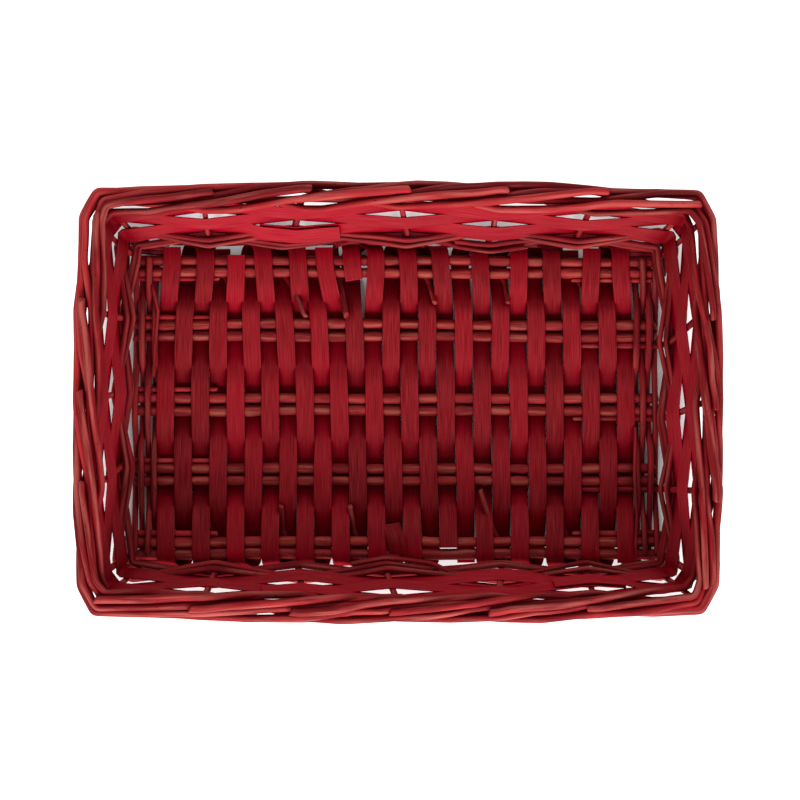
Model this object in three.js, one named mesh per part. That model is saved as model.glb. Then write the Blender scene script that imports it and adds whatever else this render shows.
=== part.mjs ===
// Storage tray woven from red-stained willow rods and flat wood splints: a base of paired sticks and strips,
// flared walls of stakes, thin rods and flat bands, and a braided border of bent-over stake ends.
// Millimetres, +Z up, X along the length, origin on the floor under the middle of the tray.
import * as THREE from 'three';

// Overall size, measured over the border
const RIM_LENGTH = 400;
const RIM_WIDTH = 272;
// How far the middle of a long and of a short side bows out past its ends
const RIM_BOW_LONG = 5;
const RIM_BOW_SHORT = 4;
// Where the two stakes of a corner stand, measured in from the middle line of the neighbouring side
const CORNER_CUT_X = 8.6;
const CORNER_CUT_Y = 15;

// Slack between woven pieces, in the base and round the stakes
const BASE_GAP = 0.3;
const WALL_GAP = 0.5;

// Base sticks: straight round sticks in pairs along the length
const PAIR_COUNT = 5;
const PAIR_PITCH = 45;
const STICK_DIA = 5.8;
const STICK_GAP = 1.9;
const STICK_SIDES = 8;

// Base strips: flat splints that run back and forth across the pairs
const UNDER_PASSES = 13;
const STRIP_WIDTH = 10.5;
const STRIP_GAP = 0.8;
const STRIP_THICK = 1.4;
const STRIP_SLACK = 2.7;
const STRIP_OVERHANG = 7;
const STRIP_FIRST_PASSES = [1, 5, 11, 14, 18, 25];

// End rods: thin rods woven across the ends of the pairs, with the sticks' tips beyond them
const END_ROD_COUNT = 4;
const END_ROD_DIA = 3.6;
const END_ROD_GAP = 0.22;
const END_ROD_OVERHANG = 0.6;
const STICK_TIP = 1.1;

// Stakes: thin in the base and the wall, full thickness in the border
const STAKE_DIA = 4.6;
const POST_DIA = 3.8;
const FOOT_DIA = 3.6;
const LONG_STAKES = 7;
const LONG_FOOT_PASSES = [4, 8, 16, 20, 24];
const LONG_FOOT_LENGTH = 38;
const LONG_FOOT_ENTRY = 6.2;
const LONG_FOOT_TIP = 3.2;
const CORNER_FOOT_LENGTH = 20;
const CORNER_FOOT_SHIFT = 3;
const CORNER_FOOT_TURN = 4.6;
const SHORT_FOOT_LENGTH = 55;
const FOOT_BEND = 2.5;
const BORDER_BEND = 4.5;
// Distance from the edge of the base to the middle of the stakes at the foot of the wall
const WALL_SET_OUT = 2.3;
// Distance from the corner of the wall's foot to the corner stakes, along the long and the short side
const CORNER_INSET_LONG = 8.4;
const CORNER_INSET_SHORT = 8;

// Wall rows: thin wale rods at the foot, wide flat bands above
const WALE_COUNT = 4;
const WALE_DIA = 3.2;
const BAND_COUNT = 3;
const BAND_HEIGHT = 11;
const BAND_THICK = 1.4;
const BAND_GAP = 0.5;
// Lapped ends of a row, as shares of the way from stake to stake, and the stakes where the rows lap
const LAP_REACH = 0.4;
const LAP_LEAD = 0.15;
const WALE_LAPS = [3, 4, 15, 14];
const WALE_FOOT_PASS = 12;
const BAND_LAPS = [2, 13, 16];
// The stakes that each row passes on the inside: 0 for those an even count of steps from the back left corner,
// 1 for the others
const WALE_INSIDE = [0, 0, 1, 1];
const BAND_INSIDE = [0, 1, 0];

// Border: the path of a bent-over stake end past the stakes that follow, two rows to a stake.
// Each row is the shift outward and upward, counted in rod spacings.
const BRAID = [
  [0, 0], [-0.08, 0.42],
  [0, 1], [0.9, 1],
  [1.35, 0.75], [1.6, 0.3],
  [1.6, -0.22], [1.45, -0.75],
  [1.1, -1.1], [0.05, -1.1],
  [-1.17, -0.5], [-1.06, 0.78],
  [-0.6, 1.8], [0.1, 1.9],
  [0.8, 1.8],
];
const BRAID_TAIL = 0.1;
// Room between the highest band and the lowest rod of the border
const BORDER_CLEAR = 0.6;
const CORNER_NUDGE = 0.12;
const ROD_SIDES = 6;
const THIN_SIDES = 5;

// Stained colours
const STICK_FINISH = { color: 0x7d1f22, roughness: 0.6, metalness: 0 };
const STRIP_FINISH = { color: 0x9a0f1d, roughness: 0.65, metalness: 0 };
const THIN_FINISH = { color: 0x8a1a20, roughness: 0.6, metalness: 0 };
const STAKE_FINISH = { color: 0xa5342f, roughness: 0.55, metalness: 0 };
const BAND_FINISH = { color: 0xb3172a, roughness: 0.65, metalness: 0 };

const tray = new THREE.Group();

function addPiece(name, geometry, finish) {
  const mesh = new THREE.Mesh(geometry, new THREE.MeshStandardMaterial(finish));
  mesh.name = name;
  tray.add(mesh);
}

const mix = THREE.MathUtils.lerp;

// Closed solid through a row of rings with equal point counts, capped at both ends
function loft(rings) {
  const size = rings[0].length;
  const positions = [];
  const faces = [];
  for (const ring of rings) {
    for (const point of ring) {
      positions.push(point.x, point.y, point.z);
    }
  }
  for (let i = 0; i + 1 < rings.length; i += 1) {
    for (let j = 0; j < size; j += 1) {
      const a = i * size + j;
      const b = i * size + ((j + 1) % size);
      faces.push(a, b, b + size, a, b + size, a + size);
    }
  }
  const top = (rings.length - 1) * size;
  for (let j = 1; j + 1 < size; j += 1) {
    faces.push(0, j + 1, j, top, top + j, top + j + 1);
  }
  const geometry = new THREE.BufferGeometry();
  geometry.setAttribute('position', new THREE.Float32BufferAttribute(positions, 3));
  geometry.setIndex(faces);
  geometry.computeVertexNormals();
  return geometry;
}

// Direction of a path at one of its points, halfway between the stretches that meet there
function pathDirection(points, i) {
  const before = points[Math.max(i - 1, 0)];
  const here = points[i];
  const after = points[Math.min(i + 1, points.length - 1)];
  const arriving = here.clone().sub(before).normalize();
  const leaving = after.clone().sub(here).normalize();
  return arriving.add(leaving).normalize();
}

// Round rod along a path, with a diameter for each point
function rod(points, diameters, sides) {
  const rings = [];
  let normal = new THREE.Vector3(0, 0, 1);
  points.forEach((point, i) => {
    const direction = pathDirection(points, i);
    normal = normal.clone().addScaledVector(direction, -normal.dot(direction)).normalize();
    const binormal = direction.clone().cross(normal);
    const ring = [];
    for (let j = 0; j < sides; j += 1) {
      const angle = (2 * Math.PI * j) / sides;
      const spoke = normal.clone().multiplyScalar(Math.cos(angle));
      spoke.addScaledVector(binormal, Math.sin(angle));
      ring.push(point.clone().addScaledVector(spoke, diameters[i] / 2));
    }
    rings.push(ring);
  });
  return loft(rings);
}

const evenRod = (points, diameter, sides) => rod(points, points.map(() => diameter), sides);

// Heights and places in the base
const stickRadius = STICK_DIA / 2;
const stickOffset = (STICK_GAP + STICK_DIA) / 2;
const endRodRadius = END_ROD_DIA / 2;
const innerStickZ = END_ROD_DIA + 2 * BASE_GAP + stickRadius;
const outerStickZ = STRIP_THICK + FOOT_DIA + 2 * BASE_GAP + stickRadius;
const stripClear = stickRadius + BASE_GAP + STRIP_THICK / 2;
const stripPitch = STRIP_WIDTH + STRIP_GAP;
const passCount = 2 * UNDER_PASSES + 1;
const isOuterPair = (pair) => pair === 1 || pair === PAIR_COUNT;
const pairY = (pair) => ((PAIR_COUNT + 1) / 2 - pair) * PAIR_PITCH;
const passX = (pass) => (pass - UNDER_PASSES - 1) * stripPitch;
const stickZ = (pair) => (isOuterPair(pair) ? outerStickZ : innerStickZ);
const stripOverZ = (pair) => stickZ(pair) + stripClear;
const stripUnderZ = (pair) => (isOuterPair(pair) ? STRIP_THICK / 2 : innerStickZ - stripClear);
const flatHalf = STICK_GAP / 2 + STICK_DIA + FOOT_DIA + 2 * BASE_GAP;
const outerStickY = pairY(1) + stickOffset;
const stripTurnY = outerStickY + STRIP_SLACK;
const stripEdgeY = stripTurnY + stripClear + STRIP_THICK / 2;
const stripEdgeX = passX(passCount) + STRIP_WIDTH / 2;
const endRodPitch = END_ROD_DIA + END_ROD_GAP;
const endRodX = (row) => stripEdgeX + END_ROD_GAP + endRodRadius + row * endRodPitch;
const stickHalfLength = endRodX(END_ROD_COUNT - 1) + endRodRadius + STICK_TIP;

// Heights in the wall: the rows from the foot up, and the level at which the stakes bend into the border
const endRodTopZ = innerStickZ + stickRadius + BASE_GAP + END_ROD_DIA;
const wallFootZ = Math.max(stripOverZ(1) + STRIP_THICK / 2, endRodTopZ);
const waleRadius = WALE_DIA / 2;
const walePitch = WALE_DIA + BASE_GAP;
const waleZ = (row) => wallFootZ + BASE_GAP + waleRadius + row * walePitch;
const firstBandZ = waleZ(WALE_COUNT - 1) + waleRadius + BAND_GAP;
const bandZ = (row) => firstBandZ + row * (BAND_HEIGHT + BAND_GAP);
const borderFloorZ = bandZ(BAND_COUNT - 1) + BAND_HEIGHT + BORDER_CLEAR;
const rodStep = STAKE_DIA + WALL_GAP;
const braidDip = STAKE_DIA / 2 - Math.min(...BRAID.map((row) => row[1])) * rodStep;
const rimZ = borderFloorZ + braidDip;

// Middle of the stakes at the foot of the wall and under the border
const braidReach = Math.max(...BRAID.map((row) => row[0])) * rodStep + STAKE_DIA / 2;
const wallFootX = stickHalfLength + WALL_SET_OUT;
const wallFootY = stripEdgeY + WALL_SET_OUT;
const rimHalfX = RIM_LENGTH / 2 - braidReach;
const rimHalfY = RIM_WIDTH / 2 - braidReach;
const rimCornerX = rimHalfX - CORNER_CUT_X;
const rimCornerY = rimHalfY - CORNER_CUT_Y;

// Base sticks, numbered from the back pair to the front pair
for (let pair = 1; pair <= PAIR_COUNT; pair += 1) {
  for (const [letter, side] of [['a', 1], ['b', -1]]) {
    const stick = new THREE.CylinderGeometry(stickRadius, stickRadius, 2 * stickHalfLength, STICK_SIDES);
    stick.rotateZ(Math.PI / 2);
    stick.translate(0, pairY(pair) + side * stickOffset, stickZ(pair));
    addPiece(`base_stick_${pair}${letter}`, stick, STICK_FINISH);
  }
}

// A strip goes over a pair when pass and pair are both odd or both even
const goesOver = (pass, pair) => (pass + pair) % 2 === 0;
const stripZ = (pass, pair) => (goesOver(pass, pair) ? stripOverZ(pair) : stripUnderZ(pair));

// Middle line of one pass: odd passes run to the front, even passes to the back
function passPoints(pass, startsHere, endsHere) {
  const heading = pass % 2 === 1 ? -1 : 1;
  const x = passX(pass);
  const points = [];
  for (let i = 0; i < PAIR_COUNT; i += 1) {
    const pair = heading < 0 ? i + 1 : PAIR_COUNT - i;
    const z = stripZ(pass, pair);
    const first = i === 0;
    const last = i === PAIR_COUNT - 1;
    const turnReach = stickOffset + STRIP_SLACK;
    const endReach = stickOffset + STRIP_OVERHANG;
    const enterReach = first ? (startsHere ? endReach : turnReach) : flatHalf;
    const leaveReach = last ? (endsHere ? endReach : turnReach) : flatHalf;
    points.push(new THREE.Vector3(x, pairY(pair) - heading * enterReach, z));
    points.push(new THREE.Vector3(x, pairY(pair) + heading * leaveReach, z));
  }
  return points;
}

// Slack turn round the outermost stick from one pass to the next, slipping one pitch sideways
function turnPoints(pass) {
  const heading = pass % 2 === 1 ? -1 : 1;
  const lowCentre = STRIP_THICK / 2 + stripClear;
  const arc = (stripClear * Math.PI) / 2;
  const drop = outerStickZ - lowCentre;
  const length = 2 * arc + drop;
  const steps = [
    [45, outerStickZ, arc / 2],
    [0, outerStickZ, arc],
    [0, lowCentre, arc + drop],
    [-45, lowCentre, arc + drop + arc / 2],
  ];
  const points = steps.map(([degrees, centre, travelled]) => {
    const angle = THREE.MathUtils.degToRad(degrees);
    const fromTop = travelled / length;
    const share = pass % 2 === 1 ? fromTop : 1 - fromTop;
    const y = heading * (stripTurnY + stripClear * Math.cos(angle));
    return new THREE.Vector3(passX(pass) + share * stripPitch, y, centre + stripClear * Math.sin(angle));
  });
  return pass % 2 === 1 ? points : points.reverse();
}

// Flat ribbon whose width lies along X and whose thickness stands square to its path
function ribbon(points) {
  const rings = points.map((point, i) => {
    const flatPath = points.map((p) => new THREE.Vector3(0, p.y, p.z));
    const direction = pathDirection(flatPath, i);
    const up = new THREE.Vector3(0, -direction.z, direction.y);
    const next = flatPath[Math.min(i + 1, points.length - 1)];
    const stretch = next.clone().sub(flatPath[i]).normalize();
    const lean = i + 1 < points.length ? Math.max(direction.dot(stretch), 0.5) : 1;
    up.multiplyScalar(STRIP_THICK / 2 / lean);
    const across = new THREE.Vector3(STRIP_WIDTH / 2, 0, 0);
    return [
      point.clone().add(across).sub(up),
      point.clone().sub(across).sub(up),
      point.clone().sub(across).add(up),
      point.clone().add(across).add(up),
    ];
  });
  return loft(rings);
}

STRIP_FIRST_PASSES.forEach((firstPass, index) => {
  const lastPass = (STRIP_FIRST_PASSES[index + 1] ?? passCount + 1) - 1;
  const points = [];
  for (let pass = firstPass; pass <= lastPass; pass += 1) {
    points.push(...passPoints(pass, pass === firstPass, pass === lastPass));
    if (pass < lastPass) {
      points.push(...turnPoints(pass));
    }
  }
  addPiece(`base_strip_${index + 1}`, ribbon(points), STRIP_FINISH);
});

// End rods: the row beside the strips goes under the odd pairs, the next one over them, and so on
for (const [name, side] of [['left', -1], ['right', 1]]) {
  for (let row = 0; row < END_ROD_COUNT; row += 1) {
    const points = [];
    for (let pair = 1; pair <= PAIR_COUNT; pair += 1) {
      const over = (pair + row) % 2 === 0;
      const rise = stickRadius + BASE_GAP + endRodRadius;
      const z = stickZ(pair) + (over ? rise : -rise);
      const backReach = pair === 1 ? stickOffset + END_ROD_OVERHANG : flatHalf;
      const frontReach = pair === PAIR_COUNT ? stickOffset + END_ROD_OVERHANG : flatHalf;
      points.push(new THREE.Vector3(side * endRodX(row), pairY(pair) + backReach, z));
      points.push(new THREE.Vector3(side * endRodX(row), pairY(pair) - frontReach, z));
    }
    addPiece(`end_rod_${name}_${row + 1}`, evenRod(points, END_ROD_DIA, THIN_SIDES), THIN_FINISH);
  }
}

// Foot of a back stake: on top of a strip that goes under the outer pair, and up with it to the next pair
const footRadius = FOOT_DIA / 2;
const footZ = STRIP_THICK + BASE_GAP + footRadius;
const footEdgeX = (pass) => passX(pass) - LONG_FOOT_ENTRY;

function longFoot(pass) {
  const slopeStartY = pairY(1) - flatHalf;
  const slopeEndY = pairY(2) + flatHalf;
  const slope = (stripOverZ(2) - stripUnderZ(1)) / (slopeStartY - slopeEndY);
  const seat = (STRIP_THICK / 2 + BASE_GAP + footRadius) * Math.hypot(1, slope);
  const tipX = passX(pass) + LONG_FOOT_TIP;
  const tipY = stripEdgeY - LONG_FOOT_LENGTH;
  const tipZ = stripUnderZ(1) + slope * (slopeStartY - tipY) + seat;
  const slopeX = mix(footEdgeX(pass), tipX, (stripEdgeY - slopeStartY) / LONG_FOOT_LENGTH);
  return [
    new THREE.Vector3(tipX, tipY, tipZ),
    new THREE.Vector3(slopeX, slopeStartY, stripUnderZ(1) + seat),
    new THREE.Vector3(footEdgeX(pass), stripEdgeY, footZ),
  ];
}

// Bend from a foot up into the back wall, from one place along it to another
function bendUp(fromX, toX) {
  return [
    new THREE.Vector3(mix(fromX, toX, 0.65), wallFootY - FOOT_BEND, footZ),
    new THREE.Vector3(mix(fromX, toX, 0.9), wallFootY - 0.3 * FOOT_BEND, footZ + 0.3 * FOOT_BEND),
    new THREE.Vector3(toX, wallFootY, footZ + FOOT_BEND),
  ];
}

// Stakes of the back wall, left to right. Corner feet end under the outer pair and slant out to the corner.
function backStakes() {
  const stakes = [];
  for (let j = 0; j < LONG_STAKES; j += 1) {
    const corner = j === 0 || j === LONG_STAKES - 1;
    const place = (2 * j) / (LONG_STAKES - 1) - 1;
    const rimX = place * rimCornerX;
    const rimY = rimHalfY - RIM_BOW_LONG * (rimX / rimHalfX) ** 2;
    const foot = [];
    let wallX = place * (wallFootX - CORNER_INSET_LONG);
    if (corner) {
      const footX = place * (passX(passCount) + CORNER_FOOT_SHIFT);
      foot.push(new THREE.Vector3(footX, stripEdgeY - CORNER_FOOT_LENGTH, footZ));
      foot.push(new THREE.Vector3(footX, stripEdgeY - CORNER_FOOT_TURN, footZ));
      foot.push(...bendUp(footX, wallX));
    } else {
      const footX = footEdgeX(LONG_FOOT_PASSES[j - 1]);
      foot.push(...longFoot(LONG_FOOT_PASSES[j - 1]), ...bendUp(footX, footX));
      wallX = mix(footX, rimX, 0.5);
    }
    const base = new THREE.Vector3(wallX, wallFootY, wallFootZ);
    const rim = new THREE.Vector3(rimX, rimY, rimZ);
    stakes.push({ foot, base, rim });
  }
  return stakes;
}

// Stakes of the right wall, back to front. Each foot lies beside a pair of sticks: on the inner side of the
// outermost pairs, and on the front side of the others.
function rightStakes() {
  const reach = stickOffset + stickRadius + BASE_GAP + footRadius;
  const stakes = [];
  for (let pair = 1; pair <= PAIR_COUNT; pair += 1) {
    const place = 1 - (2 * (pair - 1)) / (PAIR_COUNT - 1);
    const rimY = place * rimCornerY;
    const rimX = rimHalfX - RIM_BOW_SHORT * (rimY / rimHalfY) ** 2;
    const footY = pairY(pair) + (pair === PAIR_COUNT ? reach : -reach);
    const wallY = isOuterPair(pair) ? place * (wallFootY - CORNER_INSET_SHORT) : footY;
    const z = stickZ(pair);
    const foot = [
      new THREE.Vector3(stickHalfLength - SHORT_FOOT_LENGTH, footY, z),
      new THREE.Vector3(wallFootX - FOOT_BEND, footY, z),
      new THREE.Vector3(wallFootX - 0.3 * FOOT_BEND, mix(footY, wallY, 0.06), z + 0.3 * FOOT_BEND),
      new THREE.Vector3(wallFootX, mix(footY, wallY, 0.4), mix(z, wallFootZ, 0.5)),
    ];
    const base = new THREE.Vector3(wallFootX, wallY, wallFootZ);
    const rim = new THREE.Vector3(rimX, rimY, rimZ);
    stakes.push({ foot, base, rim });
  }
  return stakes;
}

// The front and left walls are the back and right walls turned half round
const turnPoint = (point) => new THREE.Vector3(-point.x, -point.y, point.z);
const turnStake = ({ foot, base, rim }) => {
  return { foot: foot.map(turnPoint), base: turnPoint(base), rim: turnPoint(rim) };
};
const back = backStakes();
const right = rightStakes();
const walls = [
  ['back', 'back_right', back],
  ['right', 'front_right', right],
  ['front', 'front_left', back.map(turnStake)],
  ['left', 'back_left', right.map(turnStake)],
];

// All stakes clockwise from the back left corner. The border counts one step from stake to stake, and the
// two stakes of a corner share a step; the first of them is a plain post that ends under the border.
const stakes = [];
let borderSteps = 0;
for (const [wall, corner, wallStakes] of walls) {
  wallStakes.forEach((stake, j) => {
    const last = j === wallStakes.length - 1;
    const nudge = (j === 0 ? CORNER_NUDGE : 0) - (last ? CORNER_NUDGE : 0);
    const name = last ? `corner_post_${corner}` : `stake_${wall}_${j + 1}`;
    stakes.push({ ...stake, name, plain: last, step: borderSteps + j + nudge });
  });
  borderSteps += wallStakes.length - 1;
}
const stakeCount = stakes.length;
const stakeIndex = (k) => ((k % stakeCount) + stakeCount) % stakeCount;

// Middle of a stake at a height, and the sideways shift there that keeps a row parallel to the wall
function stakeAt(k, z) {
  const { base, rim } = stakes[stakeIndex(k)];
  const share = (z - base.z) / (rim.z - base.z);
  return new THREE.Vector3(mix(base.x, rim.x, share), mix(base.y, rim.y, share), z);
}

function outwardAt(k, z) {
  const here = stakeAt(k, z);
  const arriving = here.clone().sub(stakeAt(k - 1, z)).normalize();
  const leaving = stakeAt(k + 1, z).sub(here).normalize();
  const normalA = new THREE.Vector3(-arriving.y, arriving.x, 0);
  const normalB = new THREE.Vector3(-leaving.y, leaving.x, 0);
  const share = 1 + normalA.dot(normalB);
  return normalA.add(normalB).divideScalar(share);
}

// Point of the wall between two stakes, shifted outward by an amount given for each stake
function wallPoint(place, z, shiftAt) {
  const k = Math.floor(place);
  const from = stakeAt(k, z).addScaledVector(outwardAt(k, z), shiftAt(k));
  const to = stakeAt(k + 1, z).addScaledVector(outwardAt(k + 1, z), shiftAt(k + 1));
  return from.lerp(to, place - k);
}

// Stations of the border: every stake, and halfway between stakes that are a whole step apart
const stations = [];
for (let k = 0; k < 2 * stakeCount; k += 1) {
  const lap = Math.floor(k / stakeCount) * borderSteps;
  const nextLap = Math.floor((k + 1) / stakeCount) * borderSteps;
  const step = stakes[stakeIndex(k)].step + lap;
  const nextStep = stakes[stakeIndex(k + 1)].step + nextLap;
  stations.push({ place: k, step });
  if (nextStep - step > 0.5) {
    const half = Math.floor(step + 0.25) + 0.5;
    stations.push({ place: k + (half - step) / (nextStep - step), step: half });
  }
}

function placeOfStep(step) {
  const i = stations.findIndex((station) => station.step > step);
  const before = stations[i - 1];
  const after = stations[i];
  return mix(before.place, after.place, (step - before.step) / (after.step - before.step));
}

// Point of a border rod, given how many steps it has gone from its own stake
function borderPoint(place, travelled) {
  const half = Math.min(2 * travelled, BRAID.length - 1);
  const i = Math.min(Math.floor(half), BRAID.length - 2);
  const outward = mix(BRAID[i][0], BRAID[i + 1][0], half - i) * rodStep;
  const upward = mix(BRAID[i][1], BRAID[i + 1][1], half - i) * rodStep;
  const point = wallPoint(place, rimZ, () => outward);
  point.z += upward;
  return point;
}

const braidSteps = (BRAID.length - 1) / 2;
const rimStride = (2 * rimCornerX) / (LONG_STAKES - 1);
const postTopZ = borderFloorZ - WALL_GAP;

stakes.forEach((stake, k) => {
  const path = [...stake.foot, stake.base];
  if (stake.plain) {
    path.push(stakeAt(k, postTopZ));
  } else {
    const origin = Math.round(stake.step);
    const end = origin + braidSteps;
    const bendSteps = BORDER_BEND / rimStride;
    const crest = borderPoint(placeOfStep(stake.step + 0.3 * bendSteps), 0);
    crest.z -= 0.3 * BORDER_BEND;
    path.push(stakeAt(k, rimZ - BORDER_BEND), crest);
    path.push(borderPoint(placeOfStep(stake.step + bendSteps), 0));
    for (const station of stations) {
      if (station.step > stake.step + bendSteps && station.step <= end) {
        path.push(borderPoint(station.place, station.step - origin));
      }
    }
    path.push(borderPoint(placeOfStep(end + BRAID_TAIL), braidSteps + BRAID_TAIL));
  }
  const diameters = path.map((point, i) => (i < stake.foot.length ? FOOT_DIA : STAKE_DIA));
  diameters.fill(POST_DIA, stake.foot.length, stake.foot.length + 2);
  addPiece(stake.name, rod(path, diameters, ROD_SIDES), STAKE_FINISH);
});

// The two stakes of a corner share a border step, so a row passes both on the same side
const stepOf = (k) => Math.round(stakes[stakeIndex(k)].step) % borderSteps;
const endsWall = (k) => stepOf(k) === stepOf(k + 1);
const rowSide = (k, inside) => (stepOf(k) % 2 === inside ? -1 : 1);

// Where the inner sides of two walls meet, seen from the stake that ends the first of them
function innerCorner(k, z, shift) {
  const along = stakeAt(k, z).sub(stakeAt(k - 1, z)).normalize();
  const next = stakeAt(k + 2, z).sub(stakeAt(k + 1, z)).normalize();
  const here = stakeAt(k, z).add(new THREE.Vector3(-along.y, along.x, 0).multiplyScalar(shift));
  const there = stakeAt(k + 1, z).add(new THREE.Vector3(-next.y, next.x, 0).multiplyScalar(shift));
  const gap = there.clone().sub(here);
  const reach = (gap.x * next.y - gap.y * next.x) / (along.x * next.y - along.y * next.x);
  return { here, meeting: here.clone().addScaledVector(along, reach), there };
}

// Places of a row, counted in stakes: inside one stake and outside the next, all the way round, with a turn
// inside each corner. Its end laps over its start, on the side where the row passes that stake.
function rowPlaces(startStake, inside, lap) {
  const end = startStake + stakeCount;
  const aside = rowSide(startStake, inside) * lap;
  const places = [{ place: startStake - LAP_REACH, aside: 0 }];
  for (let k = startStake; k < end; k += 1) {
    places.push({ place: k, aside: 0 });
    if (endsWall(k) && rowSide(k, inside) < 0) {
      places.push({ place: k + 0.5, aside: 0 });
    }
  }
  places.push({ place: end - LAP_REACH - LAP_LEAD, aside: 0 });
  places.push({ place: end - LAP_REACH, aside });
  places.push({ place: end, aside });
  places.push({ place: end + LAP_REACH, aside });
  return places;
}

// Point of a row at a height, moved outward by a further amount
function rowPoint({ place, aside }, inside, z, shift, outward) {
  const k = Math.floor(place);
  const shiftAt = (stake) => rowSide(stake, inside) * shift + aside + outward;
  if (rowSide(k, inside) < 0 && endsWall(k)) {
    const corner = innerCorner(k, z, shiftAt(k));
    return place > k ? corner.meeting : corner.here;
  }
  if (rowSide(k, inside) < 0 && endsWall(k - 1) && place === k) {
    return innerCorner(k - 1, z, shiftAt(k)).there;
  }
  return wallPoint(place, z, shiftAt);
}

const waleShift = POST_DIA / 2 + WALL_GAP + waleRadius;
for (let row = 0; row < WALE_COUNT; row += 1) {
  const inside = WALE_INSIDE[row % WALE_INSIDE.length];
  const places = rowPlaces(WALE_LAPS[row % WALE_LAPS.length], inside, WALE_DIA + WALL_GAP);
  const points = places.map((place) => rowPoint(place, inside, waleZ(row), waleShift, 0));
  if (row === 0) {
    const footX = footEdgeX(WALE_FOOT_PASS);
    points.unshift(...longFoot(WALE_FOOT_PASS), ...bendUp(footX, footX));
  }
  addPiece(`wale_rod_${row + 1}`, evenRod(points, WALE_DIA, THIN_SIDES), THIN_FINISH);
}

const bandShift = POST_DIA / 2 + WALL_GAP + BAND_THICK / 2;
for (let row = 0; row < BAND_COUNT; row += 1) {
  const inside = BAND_INSIDE[row % BAND_INSIDE.length];
  const places = rowPlaces(BAND_LAPS[row % BAND_LAPS.length], inside, BAND_THICK + WALL_GAP);
  const low = bandZ(row);
  const high = low + BAND_HEIGHT;
  const rings = places.map((place) => {
    const corner = (z, face) => rowPoint(place, inside, z, bandShift, face * (BAND_THICK / 2));
    return [corner(high, 1), corner(high, -1), corner(low, -1), corner(low, 1)];
  });
  addPiece(`wall_band_${row + 1}`, loft(rings), BAND_FINISH);
}

export default tray;
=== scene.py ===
import bpy
import numpy as np
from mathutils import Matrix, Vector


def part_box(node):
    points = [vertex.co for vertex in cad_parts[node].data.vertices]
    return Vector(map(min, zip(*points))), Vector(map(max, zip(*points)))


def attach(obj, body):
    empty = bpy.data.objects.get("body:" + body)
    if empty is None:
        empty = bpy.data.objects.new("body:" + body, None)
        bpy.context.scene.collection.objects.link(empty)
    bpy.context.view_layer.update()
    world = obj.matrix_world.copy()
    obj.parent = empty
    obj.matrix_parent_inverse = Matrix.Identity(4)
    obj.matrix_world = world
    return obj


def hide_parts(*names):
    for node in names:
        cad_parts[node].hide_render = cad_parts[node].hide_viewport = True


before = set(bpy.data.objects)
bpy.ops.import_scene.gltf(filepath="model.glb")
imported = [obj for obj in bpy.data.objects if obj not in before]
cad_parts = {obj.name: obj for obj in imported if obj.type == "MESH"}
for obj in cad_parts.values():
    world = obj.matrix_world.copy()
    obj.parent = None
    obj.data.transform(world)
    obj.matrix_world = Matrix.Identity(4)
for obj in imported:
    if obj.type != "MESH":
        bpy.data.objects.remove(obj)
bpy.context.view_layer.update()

# The tray's sizes are in millimetres. A tone is 0 where the stain is deep and 1 where it is fair; on the
# stakes and the wall bands it also carries painted light and shade.
MM = 0.001
STEP = 1.4
ROUTE_STEP = 1.0
BELL_REACH = 3
GRAIN_SPREAD = 4000
SEED_STEP = 10
CUT_ROUND = 0.35
PAIR_COUNT = 5
PAIR_PITCH = 45
PAIR_DRIFT = [-1.2, 3.0, 0.5, 0.5, -1.2]
BASE_FADE = (15, 25)
STICK_SEED = 100
STICK_SIDES = 14
STICK_INSET = 1.5
STICK_THICKER = (1.15, 1.23)
STICK_ASIDE = 0.55
STICK_UP = 0.275
STICK_WAVE = 170
STICK_TONE = (0.3, 0.6)
STICK_GLOSS = 0.42
STICK_DEEP = (0.140, 0.003, 0.007)
STICK_FAIR = (0.380, 0.022, 0.025)
STICK_WORN_AND_SHEEN = (0.520, 0.160, 0.105)

pairs = np.arange(1, PAIR_COUNT + 1)
pair_y = ((PAIR_COUNT + 1) / 2 - pairs) * PAIR_PITCH


def base_share(path):
    """How far points go with the base: 1 in it, 0 well above it, and a straight fade between two heights."""
    low, high = BASE_FADE
    return np.clip((high - path[:, 2]) / (high - low), 0, 1)


def settle(path):
    """The pairs aren't laid quite evenly, and what is woven round them goes with them: points in the base
    move front or back by the drift of the pairs beside them."""
    edge = pair_y[0] + PAIR_PITCH / 4
    drift_y = np.interp(path[:, 1], [-edge, *pair_y[::-1], edge], [0, *PAIR_DRIFT[::-1], 0])
    path[:, 1] += base_share(path) * drift_y
    return path


WAVE_COUNT = 5
WAVE_SPREAD = (0.55, 1.8)
WAVE_GAIN = 1.5


def drift(distance, wavelength, rng):
    """Slow wandering along a length, about -1 to 1: the mean of a few sines of random phase, times a gain,
    their wavelengths spread round the one given."""
    phase = rng.uniform(0, 2 * np.pi, WAVE_COUNT)
    stretch = rng.uniform(*WAVE_SPREAD, WAVE_COUNT)
    waves = np.sin(2 * np.pi * distance[:, None] / (wavelength * stretch) + phase)
    return WAVE_GAIN * waves.mean(axis=1)


def reach_along(points):
    """How far along a polyline each of its points lies: the running sum of its stretches' lengths."""
    return np.concatenate([[0], np.cumsum(np.linalg.norm(np.diff(points, axis=0), axis=1))])


def rows_at(places, known, rows):
    """Rows of an array at places between those where they are known, on straight lines."""
    return np.stack([np.interp(places, known, column) for column in rows.T], axis=1)


def walk(points, step, rounded=False):
    """Points at even steps along a polyline, and how far along it each lies. With rounded ends, one more
    point stands just inside each end, where the edge of the cut is eased."""
    points = np.asarray(points, float)
    reach = reach_along(points)
    along = np.linspace(0, reach[-1], int(reach[-1] / step) + 2)
    if rounded:
        along = np.insert(along, [1, len(along) - 1], [CUT_ROUND, reach[-1] - CUT_ROUND])
    return rows_at(along, reach, points), along


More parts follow.
